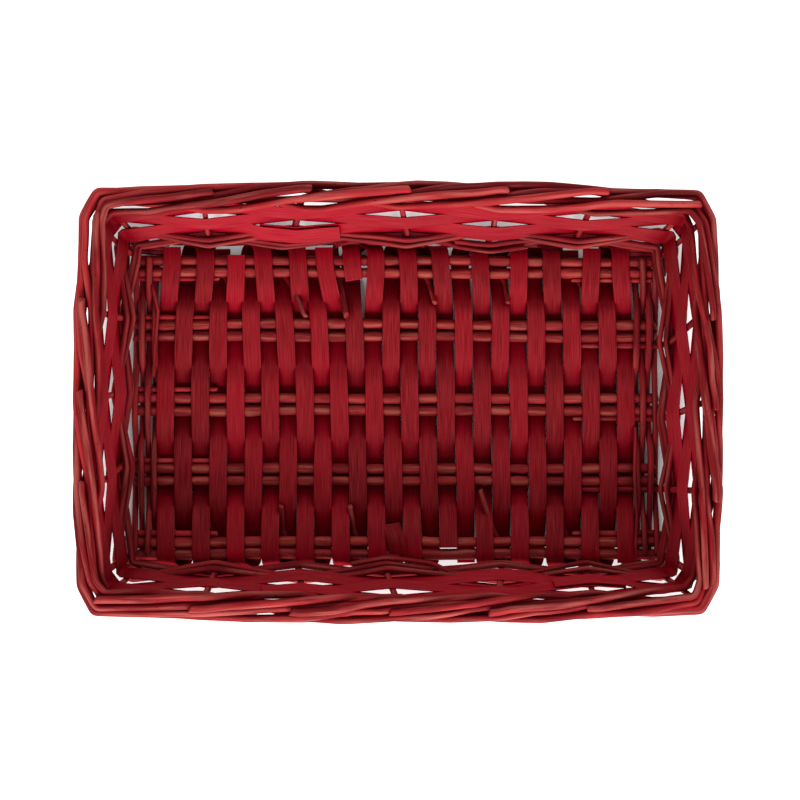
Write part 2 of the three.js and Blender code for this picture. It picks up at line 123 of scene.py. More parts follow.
def soften(rows, width):
    """Running mean of an array's rows under a bell curve some rows wide; each end is carried on by turning
    the array about it, so that the ends stay where they are."""
    count = min(int(BELL_REACH * width), len(rows) - 2)
    bell = np.exp(-0.5 * (np.arange(-count, count + 1) / width) ** 2)
    head = 2 * rows[:1] - rows[count:0:-1]
    tail = 2 * rows[-1:] - rows[-2:-count - 2:-1]
    padded = np.concatenate([head, rows, tail])
    return np.stack([np.convolve(column, bell / bell.sum(), mode="valid") for column in padded.T], axis=1)


def eased(route, width):
    """Close, even points along a route, with its corners rounded under a bell curve."""
    return soften(walk(route, ROUTE_STEP)[0], width)


def axes_along(path, away):
    """Three directions at each point of a path: along it, the part of `away` that is square to it, and the
    direction square to both."""
    along = np.gradient(path, axis=0)
    along /= np.linalg.norm(along, axis=1, keepdims=True)
    side = away - (away * along).sum(axis=1, keepdims=True) * along
    side /= np.linalg.norm(side, axis=1, keepdims=True)
    return along, side, np.cross(along, side)


# Buds, uneven thickness and cut ends of a willow rod.
BUD_SPACING = 90
BUD_LENGTH = 2.2
BUD_FOCUS = 2.5
BUD_SWELL = 0.14
OVAL_SHARE = 0.05
OVAL_TWIST = 3
OVAL_WAVE = 160
UNEVEN_SHARE = 0.045
UNEVEN_WAVE = 70
CUT_SHRINK = 0.86
CUT_SLANT = 0.5


def round_rod(path, along, radius, away, sides, rng):
    """Surface of a willow rod: rings of path + radius * (cos a * side + sin a * other). The radius wanders,
    is a little out of round, swells at a few buds, and shrinks at the eased edges of the two cut ends,
    which slant. The second result is each point's place in the wood: two ways across it, and along it."""
    direction, side, other = axes_along(path, away)
    angle = np.linspace(0, 2 * np.pi, sides, endpoint=False)
    buds = rng.uniform(0, along[-1], 1 + int(along[-1] / BUD_SPACING))
    bud_angle = rng.uniform(0, 2 * np.pi, len(buds))
    near = np.exp(-0.5 * ((along[:, None] - buds) / BUD_LENGTH) ** 2)
    facing = np.exp(BUD_FOCUS * (np.cos(angle[:, None] - bud_angle) - 1))
    swell = BUD_SWELL * np.einsum("ik,jk->ij", near, facing)
    twist = OVAL_TWIST * drift(along, OVAL_WAVE, rng)
    oval = OVAL_SHARE * np.cos(2 * angle + twist[:, None])
    uneven = radius * (1 + UNEVEN_SHARE * drift(along, UNEVEN_WAVE, rng))
    size = uneven[:, None] * (1 + swell + oval)
    size[[0, -1]] *= CUT_SHRINK
    ring = np.cos(angle)[:, None] * side[:, None, :] + np.sin(angle)[:, None] * other[:, None, :]
    surface = path[:, None, :] + size[:, :, None] * ring
    slant = CUT_SLANT * np.cos(angle + rng.uniform(0, 2 * np.pi))
    for end in ([0, 1], [-2, -1]):
        surface[end] += (slant * size[end])[:, :, None] * direction[end, None, :]
    run = np.broadcast_to(along[:, None], size.shape)
    fibre = np.stack([size * np.cos(angle), size * np.sin(angle), run], axis=2)
    return surface, fibre


def woven_piece(name, surface, fibre, tone, finish):
    """Closed mesh over rings of points, in metres: four-sided faces from ring to ring and one face over each
    end. Points below the surface that the tray stands on are pressed up to it. Each point keeps its place
    in the wood, its tone and whether it lies on a cut end."""
    surface[:, :, 2] = np.maximum(surface[:, :, 2], 0)
    rings, around = surface.shape[:2]
    first = np.arange(rings - 1)[:, None] * around + np.arange(around)
    second = np.arange(rings - 1)[:, None] * around + np.roll(np.arange(around), -1)
    quads = np.stack([first, second, second + around, first + around], axis=2).reshape(-1, 4)
    start = np.arange(around)[::-1].tolist()
    end = ((rings - 1) * around + np.arange(around)).tolist()
    mesh = bpy.data.meshes.new(name)
    mesh.from_pydata((surface * MM).reshape(-1, 3), [], quads.tolist() + [start, end])
    mesh.polygons.foreach_set("use_smooth", np.ones(len(mesh.polygons), bool))
    cut = np.zeros((rings, around))
    cut[[0, -1]] = 1
    place = mesh.attributes.new("fibre", "FLOAT_VECTOR", "POINT")
    place.data.foreach_set("vector", fibre.astype(np.float32).ravel())
    for label, values in (("tone", np.broadcast_to(tone, (rings, around))), ("cut", cut)):
        layer = mesh.attributes.new(label, "FLOAT", "POINT")
        layer.data.foreach_set("value", np.ascontiguousarray(values, np.float32).ravel())
    mesh.materials.append(finish)
    piece = bpy.data.objects.new(name, mesh)
    bpy.context.collection.objects.link(piece)
    return piece


class Shade:
    """A shader socket. Used in an expression it adds Math nodes; add() makes any other node."""

    def __init__(self, tree, socket=None):
        self.tree = tree
        self.socket = socket

    def add(self, kind, settings, inputs, output=0):
        """One output of a new node with these settings, and with values or links at its sockets."""
        node = self.tree.nodes.new(kind)
        for key, value in settings.items():
            setattr(node, key, value)
        for key, value in inputs.items():
            if isinstance(value, Shade):
                self.tree.links.new(value.socket, node.inputs[key])
            else:
                node.inputs[key].default_value = value
        return Shade(self.tree, node.outputs[output])

    def math(self, operation, value):
        return self.add("ShaderNodeMath", {"operation": operation}, {0: self, 1: value})

    def __add__(self, value):
        return self.math("ADD", value)

    def __sub__(self, value):
        return self.math("SUBTRACT", value)

    def __mul__(self, value):
        return self.math("MULTIPLY", value)

    def between(self, low, high):
        """0 below low, 1 above high, eased between."""
        settings = {"interpolation_type": "SMOOTHSTEP"}
        inputs = {"Value": self, "From Min": low, "From Max": high}
        return self.add("ShaderNodeMapRange", settings, inputs)

    def blend(self, under, over):
        """Colour that goes from one to the other as this value goes from 0 to 1. On a Mix node, sockets 6
        and 7 take the two colours and output 2 gives the blend."""
        return self.add("ShaderNodeMix", {"data_type": "RGBA"}, {0: self, 6: under, 7: over}, 2)


def opaque(colour):
    """A colour with full cover."""
    return (*colour, 1.0)


def noise_in_wood(place, across, lengthwise, detail):
    """Noise whose patches have a width across the fibres and a length along them, in millimetres."""
    scale = (1 / across, 1 / across, 1 / lengthwise)
    stretched = place.add("ShaderNodeVectorMath", {"operation": "MULTIPLY"}, {0: place, 1: scale})
    inputs = {"Vector": stretched, "Scale": 1.0, "Detail": detail}
    return place.add("ShaderNodeTexNoise", {}, inputs, "Fac")


# Finish of stained willow: shares of its patterns, the ranges over which patches and scars come in, and the
# painted shade in crevices and painted highlight on open spots, both read from ambient occlusion.
OPENNESS_SAMPLES = 4
CREVICE_REACH = 20
CREVICE_SHADE_RANGE = (0.1, 0.7)
RELIEF_DEPTH = 0.4
ROUGH_CHANGE = 0.25
NOISE_MIDDLE = 0.5
WILLOW_STREAKS = 0.9
WILLOW_BLOTCHES = 1.5
WILLOW_LIGHT = (0.05, 0.95)
WILLOW_OPEN_WEAR_AND_SHEEN = (0.55, 1.0)
WILLOW_PATCHES = (0.42, 0.70)
WILLOW_WEAR_AND_SHEEN_MORE = 0.5
WILLOW_WEAR_AND_SHEEN_LEAST = 0.04
WILLOW_CUT = 0.15
WILLOW_CREVICE_SHADE = (0.8, 0, 0.6)
SCAR_RANGE = (0.70, 0.78)
SCAR_COVER = 0.8
SCAR_SHADE = 0.35
STREAK_RELIEF = 0.6
FLECK_RELIEF = 0.5
BLOTCH_RELIEF = 0.6
WILLOW_RELIEF = 0.5
WILLOW_SHINE = 0.06


def wood_finish(name):
    """A new material, and what its shader reads at each spot: the place in the wood, the tone, whether it is
    a cut end, and how open the spot lies, from 0 deep in a crevice to 1 where nothing is near, by ambient
    occlusion. The finishes use it to paint shade into crevices and a highlight onto open spots."""
    finish = bpy.data.materials.new(name)
    finish.use_nodes = True
    start = Shade(finish.node_tree)
    place = start.add("ShaderNodeAttribute", {"attribute_name": "fibre"}, {}, "Vector")
    tone = start.add("ShaderNodeAttribute", {"attribute_name": "tone"}, {}, "Fac")
    cut = start.add("ShaderNodeAttribute", {"attribute_name": "cut"}, {}, "Fac")
    reach = {"Distance": CREVICE_REACH * MM}
    openness = start.add("ShaderNodeAmbientOcclusion", {"samples": OPENNESS_SAMPLES}, reach, "AO")
    return finish, place, tone, cut, openness


def dress(finish, colour, rough, relief, strength, shine):
    """Puts colour, roughness, a fine relief and an even shine on a material."""
    tree = finish.node_tree
    skin = tree.nodes["Principled BSDF"]
    inputs = {"Strength": strength, "Distance": RELIEF_DEPTH * MM, "Height": relief}
    bump = relief.add("ShaderNodeBump", {}, inputs)
    skin.inputs["Specular IOR Level"].default_value = shine
    tree.links.new(colour.socket, skin.inputs["Base Color"])
    tree.links.new(rough.socket, skin.inputs["Roughness"])
    tree.links.new(bump.socket, skin.inputs["Normal"])


def stained_willow(name, deep, fair, worn_and_sheen, gloss):
    """Stained peeled willow: fair over deep in streaks along the rod, blotches where the stain took unevenly,
    small dark bud scars, and pale worn patches that come in only where a spot lies open, so that they are
    partly wear and partly a painted highlight. Crevices are painted darker and redder: painted shade.
    Streaks, blotches and scars also give a fine relief."""
    finish, place, tone, cut, openness = wood_finish(name)
    streak = noise_in_wood(place, across=0.7, lengthwise=22, detail=3)
    blotch = noise_in_wood(place, across=4, lengthwise=26, detail=2)
    patch = noise_in_wood(place, across=3, lengthwise=40, detail=4)
    fleck = noise_in_wood(place, across=1.1, lengthwise=3.2, detail=1)
    light = (streak - NOISE_MIDDLE) * WILLOW_STREAKS + (blotch - NOISE_MIDDLE) * WILLOW_BLOTCHES + tone
    colour = light.between(*WILLOW_LIGHT).blend(opaque(deep), opaque(fair))
    # Pale patches, let in only where the spot lies open: partly worn wood, partly a painted highlight on the
    # open parts.
    wear_and_sheen_share = patch.between(*WILLOW_PATCHES) * WILLOW_WEAR_AND_SHEEN_MORE + WILLOW_WEAR_AND_SHEEN_LEAST
    colour = (openness.between(*WILLOW_OPEN_WEAR_AND_SHEEN) * wear_and_sheen_share).blend(colour, opaque(worn_and_sheen))
    scar = fleck.between(*SCAR_RANGE) * SCAR_COVER
    colour = scar.blend(colour, opaque(np.multiply(SCAR_SHADE, deep)))
    colour = (cut * WILLOW_CUT).blend(colour, opaque(worn_and_sheen))
    # Painted shade: crevices darker and redder where ambient occlusion finds near surfaces.
    colour = openness.between(*CREVICE_SHADE_RANGE).blend(opaque(np.multiply(WILLOW_CREVICE_SHADE, deep)), colour)
    relief = streak * STREAK_RELIEF + fleck * FLECK_RELIEF + blotch * BLOTCH_RELIEF
    dress(finish, colour, streak * ROUGH_CHANGE + gloss, relief, WILLOW_RELIEF, WILLOW_SHINE)
    return finish


stick_finish = stained_willow("stained_stick", STICK_DEEP, STICK_FAIR, STICK_WORN_AND_SHEEN, STICK_GLOSS)
for pair in range(1, PAIR_COUNT + 1):
    for letter in "ab":
        node = f"base_stick_{pair}{letter}"
        low, high = np.array(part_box(node)) / MM
        rng = np.random.default_rng(STICK_SEED + SEED_STEP * pair + ord(letter))
        middle = (low + high) / 2
        ends = [[low[0] + STICK_INSET, *middle[1:]], [high[0] - STICK_INSET, *middle[1:]]]
        path, along = walk(ends, STEP, rounded=True)
        path[:, 1] += PAIR_DRIFT[pair - 1] + STICK_ASIDE * drift(along, STICK_WAVE, rng)
        path[:, 2] += STICK_UP * drift(along, STICK_WAVE, rng)
        radius = np.full(len(along), (high[1] - low[1]) / 2 * rng.uniform(*STICK_THICKER))
        surface, fibre = round_rod(path, along, radius, np.array([0.0, 0, 1]), STICK_SIDES, rng)
        fibre[:, :, 2] += rng.uniform(0, GRAIN_SPREAD)
        piece = woven_piece(f"stick_{pair}{letter}", surface, fibre, rng.uniform(*STICK_TONE), stick_finish)
        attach(piece, "root")
        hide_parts(node)

# Base strips
# Six long splints, planed thin from a straight-grained log and stained crimson, run back and forth across
# the sticks, over one pair and under the next, and turn round the outermost sticks.
STICK_DIA = 5.8
STICK_GAP = 1.9
BASE_GAP = 0.3
FOOT_DIA = 3.6
END_ROD_DIA = 3.6
UNDER_PASSES = 13
STRIP_SEED = 300
STRIP_WIDTH = 10.5
STRIP_WIDER = 0.8
STRIP_GAP = 0.8
STRIP_THICK = 1.4
STRIP_SLACK = 2.7
STRIP_OVERHANG = 7
STRIP_FIRST_PASSES = [1, 5, 11, 14, 18, 25]
STRIP_BELL = 3.2
STRIP_WANDER = 0.3
STRIP_WAVE = 110
STRIP_SKEW = 0.05
STRIP_SKEW_WAVE = 140
STRIP_CUP = 0.25
STRIP_TONE = (0.25, 0.72)
STRIP_GLOSS = 0.48
OVER_LONGER = 3.0
SHORT_OVERHANG = {5: 2.5, 17: -4.0}
PALE_PASS = 5
PALE_TONE = 1.05
TURN_LOOSE = 1.8
TURN_ANGLES = [60, 30, 0, 0, -30, -60]
TURN_SHARES = np.array([0, 0.03, 0.12, 0.55, 0.85, 0.97])
STRIP_DEEP = (0.110, 0.0, 0.003)
STRIP_FAIR = (0.285, 0.0, 0.009)
STRIP_PALE = (0.490, 0.055, 0.060)

pass_count = 2 * UNDER_PASSES + 1
strip_pitch = STRIP_WIDTH + STRIP_GAP
stick_radius = STICK_DIA / 2
stick_offset = (STICK_GAP + STICK_DIA) / 2
inner_stick_z = END_ROD_DIA + 2 * BASE_GAP + stick_radius
outer_stick_z = STRIP_THICK + FOOT_DIA + 2 * BASE_GAP + stick_radius
strip_clear = stick_radius + BASE_GAP + STRIP_THICK / 2
flat_half = STICK_GAP / 2 + STICK_DIA + FOOT_DIA + 2 * BASE_GAP
outer_stick_y = (PAIR_COUNT - 1) / 2 * PAIR_PITCH + stick_offset
strip_turn_y = outer_stick_y + STRIP_SLACK
is_outer = (pairs == 1) | (pairs == PAIR_COUNT)
stick_z = np.where(is_outer, outer_stick_z, inner_stick_z)
strip_over_z = stick_z + strip_clear
strip_under_z = np.where(is_outer, STRIP_THICK / 2, inner_stick_z - strip_clear)


def pass_x(number):
    """Middle of a strip's pass along the tray: passes stand a pitch apart round the middle."""
    return (number - UNDER_PASSES - 1) * strip_pitch


# How the strips lean to the side: all together, each by itself at the back edge, and in a slight ripple.
SLIP_MOST = 2.9
SLIP_GROWTH = 130
SLIP_MIDDLE_X = -22
SLIP_BELL = 58
BACK_LEAN = [3.8, 3.2, 1.6, -2.4, -1.2, -6.3, 4.0, 0.5, -2.7, -0.9, 0.7, -1.4, 1.9, -2.3]
BACK_LEAN_Y = 98
BACK_LEAN_BELL = 24
RIPPLE = 0.6
RIPPLE_LONG = 31
RIPPLE_WIDE = 29
RIPPLE_START_X = 0.6
RIPPLE_START_Y = -1.1


def slip(path):
    """Strips and feet lie further left towards the middle of the back, by a bell curve along the tray that
    grows from front to back. At the back edge every second strip leans on its own, less and less away from
    that edge, and a product of two sines ripples over the whole base. All of it fades above the base."""
    x, y = path[:, 0], path[:, 1]
    shift = -SLIP_MOST * np.exp(y / SLIP_GROWTH - 0.5 * ((x - SLIP_MIDDLE_X) / SLIP_BELL) ** 2)
    lean = np.interp(x, pass_x(np.arange(1, pass_count + 1, 2)), BACK_LEAN)
    shift += lean * np.exp(-0.5 * ((y - BACK_LEAN_Y) / BACK_LEAN_BELL) ** 2)
    shift += RIPPLE * np.sin(x / RIPPLE_LONG + RIPPLE_START_X) * np.sin(y / RIPPLE_WIDE + RIPPLE_START_Y)
    path[:, 0] += base_share(path) * shift
    return path


def strip_pass(number, starts, ends):
    """Middle line of one pass, front to back or back to front: level at each pair, above it where pass and
    pair are both odd or both even, else below."""
    heading = -1 if number % 2 else 1
    order = pairs if heading < 0 else pairs[::-1]
    above = (number + order) % 2 == 0
    z = np.where(above, strip_over_z[order - 1], strip_under_z[order - 1])
    enter = np.where(above, flat_half + OVER_LONGER, flat_half - OVER_LONGER)
    leave = enter.copy()
    overhang = SHORT_OVERHANG.get(number, STRIP_OVERHANG)
    enter[0] = stick_offset + (overhang if starts else STRIP_SLACK + TURN_LOOSE)
    leave[-1] = stick_offset + (overhang if ends else STRIP_SLACK + TURN_LOOSE)
    middle_y = pair_y[order - 1]
    y = np.stack([middle_y - heading * enter, middle_y + heading * leave], axis=1).ravel()
    return np.stack([np.full(2 * PAIR_COUNT, pass_x(number)), y, np.repeat(z, 2)], axis=1)


def strip_turn(number):
    """Slack half turn round the outermost stick: two quarter circles with a straight drop between, while
    the strip slips one pitch sideways."""
    heading = -1 if number % 2 else 1
    angle = np.radians(TURN_ANGLES)
    centre = np.repeat([outer_stick_z, STRIP_THICK / 2 + strip_clear], len(TURN_ANGLES) // 2)
    y = heading * (strip_turn_y + TURN_LOOSE + strip_clear * np.cos(angle))
    z = centre + strip_clear * np.sin(angle)
    share = TURN_SHARES
    if heading > 0:
        y, z, share = y[::-1], z[::-1], 1 - share[::-1]
    return np.stack([pass_x(number) + share * strip_pitch, y, z], axis=1)


# Section of a splint: its thickness, its wandering edges and its cupping.
SPLINT_SIDES = 24
SPLINT_THICK = 1.0
SPLINT_SQUARE = 0.35
EDGE_WANDER = 0.035
EDGE_WAVE = 45
CUP_MEAN = 0.4
CUP_CHANGE = 0.6
CUP_WAVE = 120
CUP_LEVEL = 0.3


def flat_splint(path, across, width, thick, cup, along, rng):
    """Surface of a splint: a rounded slab profile carried along a path. A point of the profile lies at
    |cos a| and |sin a|, each to a small power that squares the circle off, of half the width and half the
    thickness; the two edges wander apart, and the slab is cupped by a share of the square of the distance
    from its middle. The second result is each point's place in the wood."""
    direction, side, up = axes_along(path, across)
    angle = np.linspace(0, 2 * np.pi, SPLINT_SIDES, endpoint=False) + np.pi / SPLINT_SIDES
    a = np.sign(np.cos(angle)) * np.abs(np.cos(angle)) ** SPLINT_SQUARE
    b = np.sign(np.sin(angle)) * np.abs(np.sin(angle)) ** SPLINT_SQUARE
    left = width / 2 * (1 + EDGE_WANDER * drift(along, EDGE_WAVE, rng))
    right = width / 2 * (1 + EDGE_WANDER * drift(along, EDGE_WAVE, rng))
    reach = np.where(a > 0, right[:, None], left[:, None]) * a
    bow = cup * (CUP_MEAN + CUP_CHANGE * drift(along, CUP_WAVE, rng))
    rise = thick / 2 * b + bow[:, None] * (a ** 2 - CUP_LEVEL)
    surface = path[:, None, :] + reach[:, :, None] * side[:, None, :] + rise[:, :, None] * up[:, None, :]
    run = np.broadcast_to(along[:, None], reach.shape)
    fibre = np.stack([reach, np.broadcast_to(b * thick / 2, reach.shape), run], axis=2)
    return surface, fibre


# Finish of a stained splint: shares of its patterns, and the ranges over which the pale streaks come in,
# partly rubbed wear and partly a painted sheen on open spots.
SPLINT_PORES = 0.7
SPLINT_LINES = 0.25
SPLINT_BANDS = 0.7
SPLINT_LIGHT = (0.0, 1.0)
SPLINT_OPEN_WEAR_AND_SHEEN = (0.7, 1.0)
SPLINT_RUB_AND_SHEEN = (0.25, 0.8)
SPLINT_WEAR_AND_SHEEN_MORE = 0.45
SPLINT_WEAR_AND_SHEEN_LEAST = 0.05
SPLINT_CUT = 0.6
SPLINT_CUT_PALER = 1.2
SPLINT_CREVICE_SHADE = (0.7, 0, 0.6)
PORE_RELIEF = 0.8
LINE_RELIEF = 0.2
SPLINT_RELIEF = 0.45
SPLINT_SHINE = 0.02


def stained_splint(name, deep, fair, pale, gloss):
    """Stained splint: fine pores and growth lines along the grain, broader bands where the stain took more or
    less, and paler streaks that come in only where a spot lies open, partly rubbed wear and partly a painted
    sheen. Crevices are painted darker and redder: painted shade. Pores and lines also give the relief."""
    finish, place, tone, cut, openness = wood_finish(name)
    pore = noise_in_wood(place, across=0.3, lengthwise=16, detail=1)
    line = noise_in_wood(place, across=1.0, lengthwise=90, detail=3)
    band = noise_in_wood(place, across=5, lengthwise=40, detail=2)
    rub_and_sheen = noise_in_wood(place, across=0.5, lengthwise=20, detail=3)
    light = (pore - NOISE_MIDDLE) * SPLINT_PORES + (line - NOISE_MIDDLE) * SPLINT_LINES
    light = light + (band - NOISE_MIDDLE) * SPLINT_BANDS + tone
    colour = light.between(*SPLINT_LIGHT).blend(opaque(deep), opaque(fair))
    # Pale streaks, let in only where the spot lies open: partly rubbed wear, partly a painted sheen on the
    # open parts.
    wear_and_sheen_share = rub_and_sheen.between(*SPLINT_RUB_AND_SHEEN) * SPLINT_WEAR_AND_SHEEN_MORE + SPLINT_WEAR_AND_SHEEN_LEAST
    colour = (openness.between(*SPLINT_OPEN_WEAR_AND_SHEEN) * wear_and_sheen_share).blend(colour, opaque(pale))
    colour = (cut * SPLINT_CUT).blend(colour, opaque(np.multiply(SPLINT_CUT_PALER, pale)))
    # Painted shade: crevices darker and redder where ambient occlusion finds near surfaces.
    colour = openness.between(*CREVICE_SHADE_RANGE).blend(opaque(np.multiply(SPLINT_CREVICE_SHADE, deep)), colour)
    relief = pore * PORE_RELIEF + line * LINE_RELIEF
    dress(finish, colour, pore * ROUGH_CHANGE + gloss, relief, SPLINT_RELIEF, SPLINT_SHINE)
    return finish


strip_finish = stained_splint("stained_strip", STRIP_DEEP, STRIP_FAIR, STRIP_PALE, STRIP_GLOSS)
for index, first_pass in enumerate(STRIP_FIRST_PASSES):
    rng = np.random.default_rng(STRIP_SEED + index)
    last_pass = (STRIP_FIRST_PASSES + [pass_count + 1])[index + 1] - 1
    numbers = range(first_pass, last_pass + 1)
    route = []
    for number in numbers:
        route.append(strip_pass(number, number == first_pass, number == last_pass))
        if number < last_pass:
            route.append(strip_turn(number))
    path, along = walk(eased(np.concatenate(route), STRIP_BELL), STEP, rounded=True)
    path[:, 0] += STRIP_WANDER * drift(along, STRIP_WAVE, rng)
    path = settle(slip(path))
    skew = STRIP_SKEW * drift(along, STRIP_SKEW_WAVE, rng)
    across = np.array([1.0, 0, 0]) + skew[:, None] * np.array([0, 1.0, 0])
    surface, fibre = flat_splint(path, across, STRIP_WIDTH + STRIP_WIDER, SPLINT_THICK, STRIP_CUP, along, rng)
    fibre[:, :, 2] += rng.uniform(0, GRAIN_SPREAD)
    shares = np.linspace(0, 1, len(numbers) + 1)[1:-1]
    turn = np.searchsorted(shares, along / along[-1])
    tone = rng.uniform(*STRIP_TONE, len(numbers))
    tone[np.array(numbers) == PALE_PASS] = PALE_TONE
    piece = woven_piece(f"strip_{index + 1}", surface, fibre, tone[turn][:, None], strip_finish)
    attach(piece, "root")
    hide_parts(f"base_strip_{index + 1}")

# Two ends of strips are folded back over the outermost sticks, one at the back and one at the front.
FOLD_SEED = 390
FOLD_STEP = 0.7
FOLD_BELL = 2
FOLD_CUP = 0.4
FOLD_LEAN = {"back": 0.08, "front": -0.3}
FOLD_TONE = {"back": 0.7, "front": 0.2}
FOLD_ROUTE = {
    "back": [[-30, 104, 8.5], [-29.5, 101, 11.2], [-29, 95, 12.8], [-28, 86, 12.9], [-27, 80, 11.6]],
    "front": [[-3, -76, 10.5], [-2, -80, 12.4], [0, -87, 13.2], [1, -94, 12.6], [2, -100, 9.5]],
}

for label, route in FOLD_ROUTE.items():
    rng = np.random.default_rng(FOLD_SEED)
    path, along = walk(eased(route, FOLD_BELL), FOLD_STEP, rounded=True)
    across = np.array([1.0, FOLD_LEAN[label], 0])
    surface, fibre = flat_splint(path, across, STRIP_WIDTH + STRIP_WIDER, SPLINT_THICK, FOLD_CUP, along, rng)
    piece = woven_piece(f"strip_folded_end_{label}", surface, fibre, FOLD_TONE[label], strip_finish)
    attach(piece, "root")

# End rods
# Four thin willow rods at each end of the base are woven across the sticks beyond the last strip, and keep
# the pairs apart.
END_ROD_COUNT = 4
END_ROD_SEED = 400
END_ROD_GAP = 0.22
END_ROD_OVERHANG = 0.6
END_ROD_BELL = 6
END_ROD_SPREAD = 0.25
END_ROD_WANDER = 0.5
END_ROD_WAVE = 90
END_ROD_TAPER = (1.18, 1.0)
END_ROD_THICKER = (0.97, 1.06)
END_ROD_TONE = (0.3, 0.6)
THIN_SIDES = 12
THIN_GLOSS = 0.40
THIN_DEEP = (0.130, 0.004, 0.008)
THIN_FAIR = (0.340, 0.014, 0.020)
THIN_WORN_AND_SHEEN = (0.500, 0.110, 0.085)

end_rod_radius = END_ROD_DIA / 2
end_rod_rise = stick_radius + BASE_GAP + end_rod_radius
strip_edge_x = pass_x(pass_count) + STRIP_WIDTH / 2
thin_finish = stained_willow("stained_thin_rod", THIN_DEEP, THIN_FAIR, THIN_WORN_AND_SHEEN, THIN_GLOSS)
for name, side in (("left", -1), ("right", 1)):
    for row in range(END_ROD_COUNT):
        rng = np.random.default_rng(END_ROD_SEED + SEED_STEP * row + side)
        x = side * (strip_edge_x + END_ROD_GAP + end_rod_radius + row * (END_ROD_DIA + END_ROD_GAP))
        back = pair_y + np.where(pairs == 1, stick_offset + END_ROD_OVERHANG, flat_half)
        front = pair_y - np.where(pairs == PAIR_COUNT, stick_offset + END_ROD_OVERHANG, flat_half)
        y = np.stack([back, front], axis=1).ravel()
        z = stick_z + np.where((pairs + row) % 2 == 0, end_rod_rise, -end_rod_rise)
        route = np.stack([np.full(2 * PAIR_COUNT, x), y, np.repeat(z, 2)], axis=1)
        path, along = walk(eased(route, END_ROD_BELL), STEP, rounded=True)
        path[:, 0] += side * END_ROD_SPREAD * row + END_ROD_WANDER * drift(along, END_ROD_WAVE, rng)
        path = settle(path)
        taper = np.linspace(*END_ROD_TAPER, len(along))
        radius = end_rod_radius * taper * rng.uniform(*END_ROD_THICKER)
        surface, fibre = round_rod(path, along, radius, np.array([1.0, 0, 0]), THIN_SIDES, rng)
        fibre[:, :, 2] += rng.uniform(0, GRAIN_SPREAD)
        tone = rng.uniform(*END_ROD_TONE)
        piece = woven_piece(f"cross_rod_{name}_{row + 1}", surface, fibre, tone, thin_finish)
        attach(piece, "root")
        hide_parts(f"end_rod_{name}_{row + 1}")

# Two thin loose shoots lie over the weave beside the last strips, kinked where they were bent.
LOOSE_SEED = 490
LOOSE_RADIUS = 0.95
LOOSE_TAPER = (1.15, 0.85)
LOOSE_BELL = 1.2
LOOSE_TONE = 0.6
LOOSE_ROUTE = {
    "left": [[-156, 78, 11], [-155.5, 74, 13.6], [-152, 60, 14.2], [-154, 36, 14.2], [-155, 18, 12]],
    "right": [[153, -14, 12], [152, -45, 14.4], [153.5, -72, 13.4], [152.5, -90, 14.4], [153.5, -99, 12]],
}

for label, route in LOOSE_ROUTE.items():
    rng = np.random.default_rng(LOOSE_SEED)
    path, along = walk(eased(route, LOOSE_BELL), STEP, rounded=True)
    radius = LOOSE_RADIUS * np.linspace(*LOOSE_TAPER, len(along))
    surface, fibre = round_rod(path, along, radius, np.array([1.0, 0, 0]), THIN_SIDES, rng)
    piece = woven_piece(f"loose_shoot_{label}", surface, fibre, LOOSE_TONE, thin_finish)
    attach(piece, "root")

# Stakes and border
# Twenty-four willow rods are pushed into the base, bent up and lean out as posts. All but the second rod of
# each corner are bent over at the top and plaited clockwise into the border, where each ends in a knife cut.
RIM_LENGTH = 400
RIM_WIDTH = 272
RIM_BOW_LONG = 5
RIM_BOW_SHORT = 4
CORNER_CUT_X = 8.6
CORNER_CUT_Y = 15
WALL_NAMES = ["back", "right", "front", "left"]
CORNER_NAMES = ["back_right", "front_right", "front_left", "back_left"]
WALL_GAP = 0.5
WALL_SET_OUT = 2.3
CORNER_INSET_LONG = 8.4
CORNER_INSET_SHORT = 8
WALE_COUNT = 4
WALE_DIA = 3.2
BAND_COUNT = 3
BAND_HEIGHT = 11
BAND_GAP = 0.5
STICK_TIP = 1.1

# Stakes and their feet. A foot's key is the strip pass that it lies on.
STAKE_SEED = 500
STAKE_SIDES = 14
STAKE_DIA = 4.6
POST_DIA = 3.8
LONG_STAKES = 7
LONG_FOOT_PASSES = [4, 8, 16, 20, 24]
LONG_FOOT_LENGTH = 38
LONG_FOOT_ENTRY = 6.2
LONG_FOOT_TIP = 3.2
FOOT_ASIDE = {4: (4, 4), 8: (4.5, 10.5), 12: (0, -8), 16: (5.8, 2), 20: (8.4, 1.3), 24: (5.8, 4)}
FOOT_LONGER = {4: -9, 8: 9, 12: 8, 16: -1, 20: -1, 24: -10}
FOOT_LIFT = 1.5
CORNER_FOOT_LENGTH = 20
CORNER_FOOT_SHIFT = 3
CORNER_FOOT_TURN = 4.6
SHORT_FOOT_LENGTH = 55
SHORT_FOOT_ASIDE = (0.06, 0.4)
FOOT_BEND = 2.5
BEND_ASIDE = (0.65, 0.9)
BEND_EASE = 0.3
STAKE_BELL = 1.5
STAKE_THICKER = (0.88, 1.2)
FOOT_TIP_SHARE = 0.8
FOOT_TAPER = 40
BORDER_TAPER = 25
BORDER_TIP_SHARE = 0.92

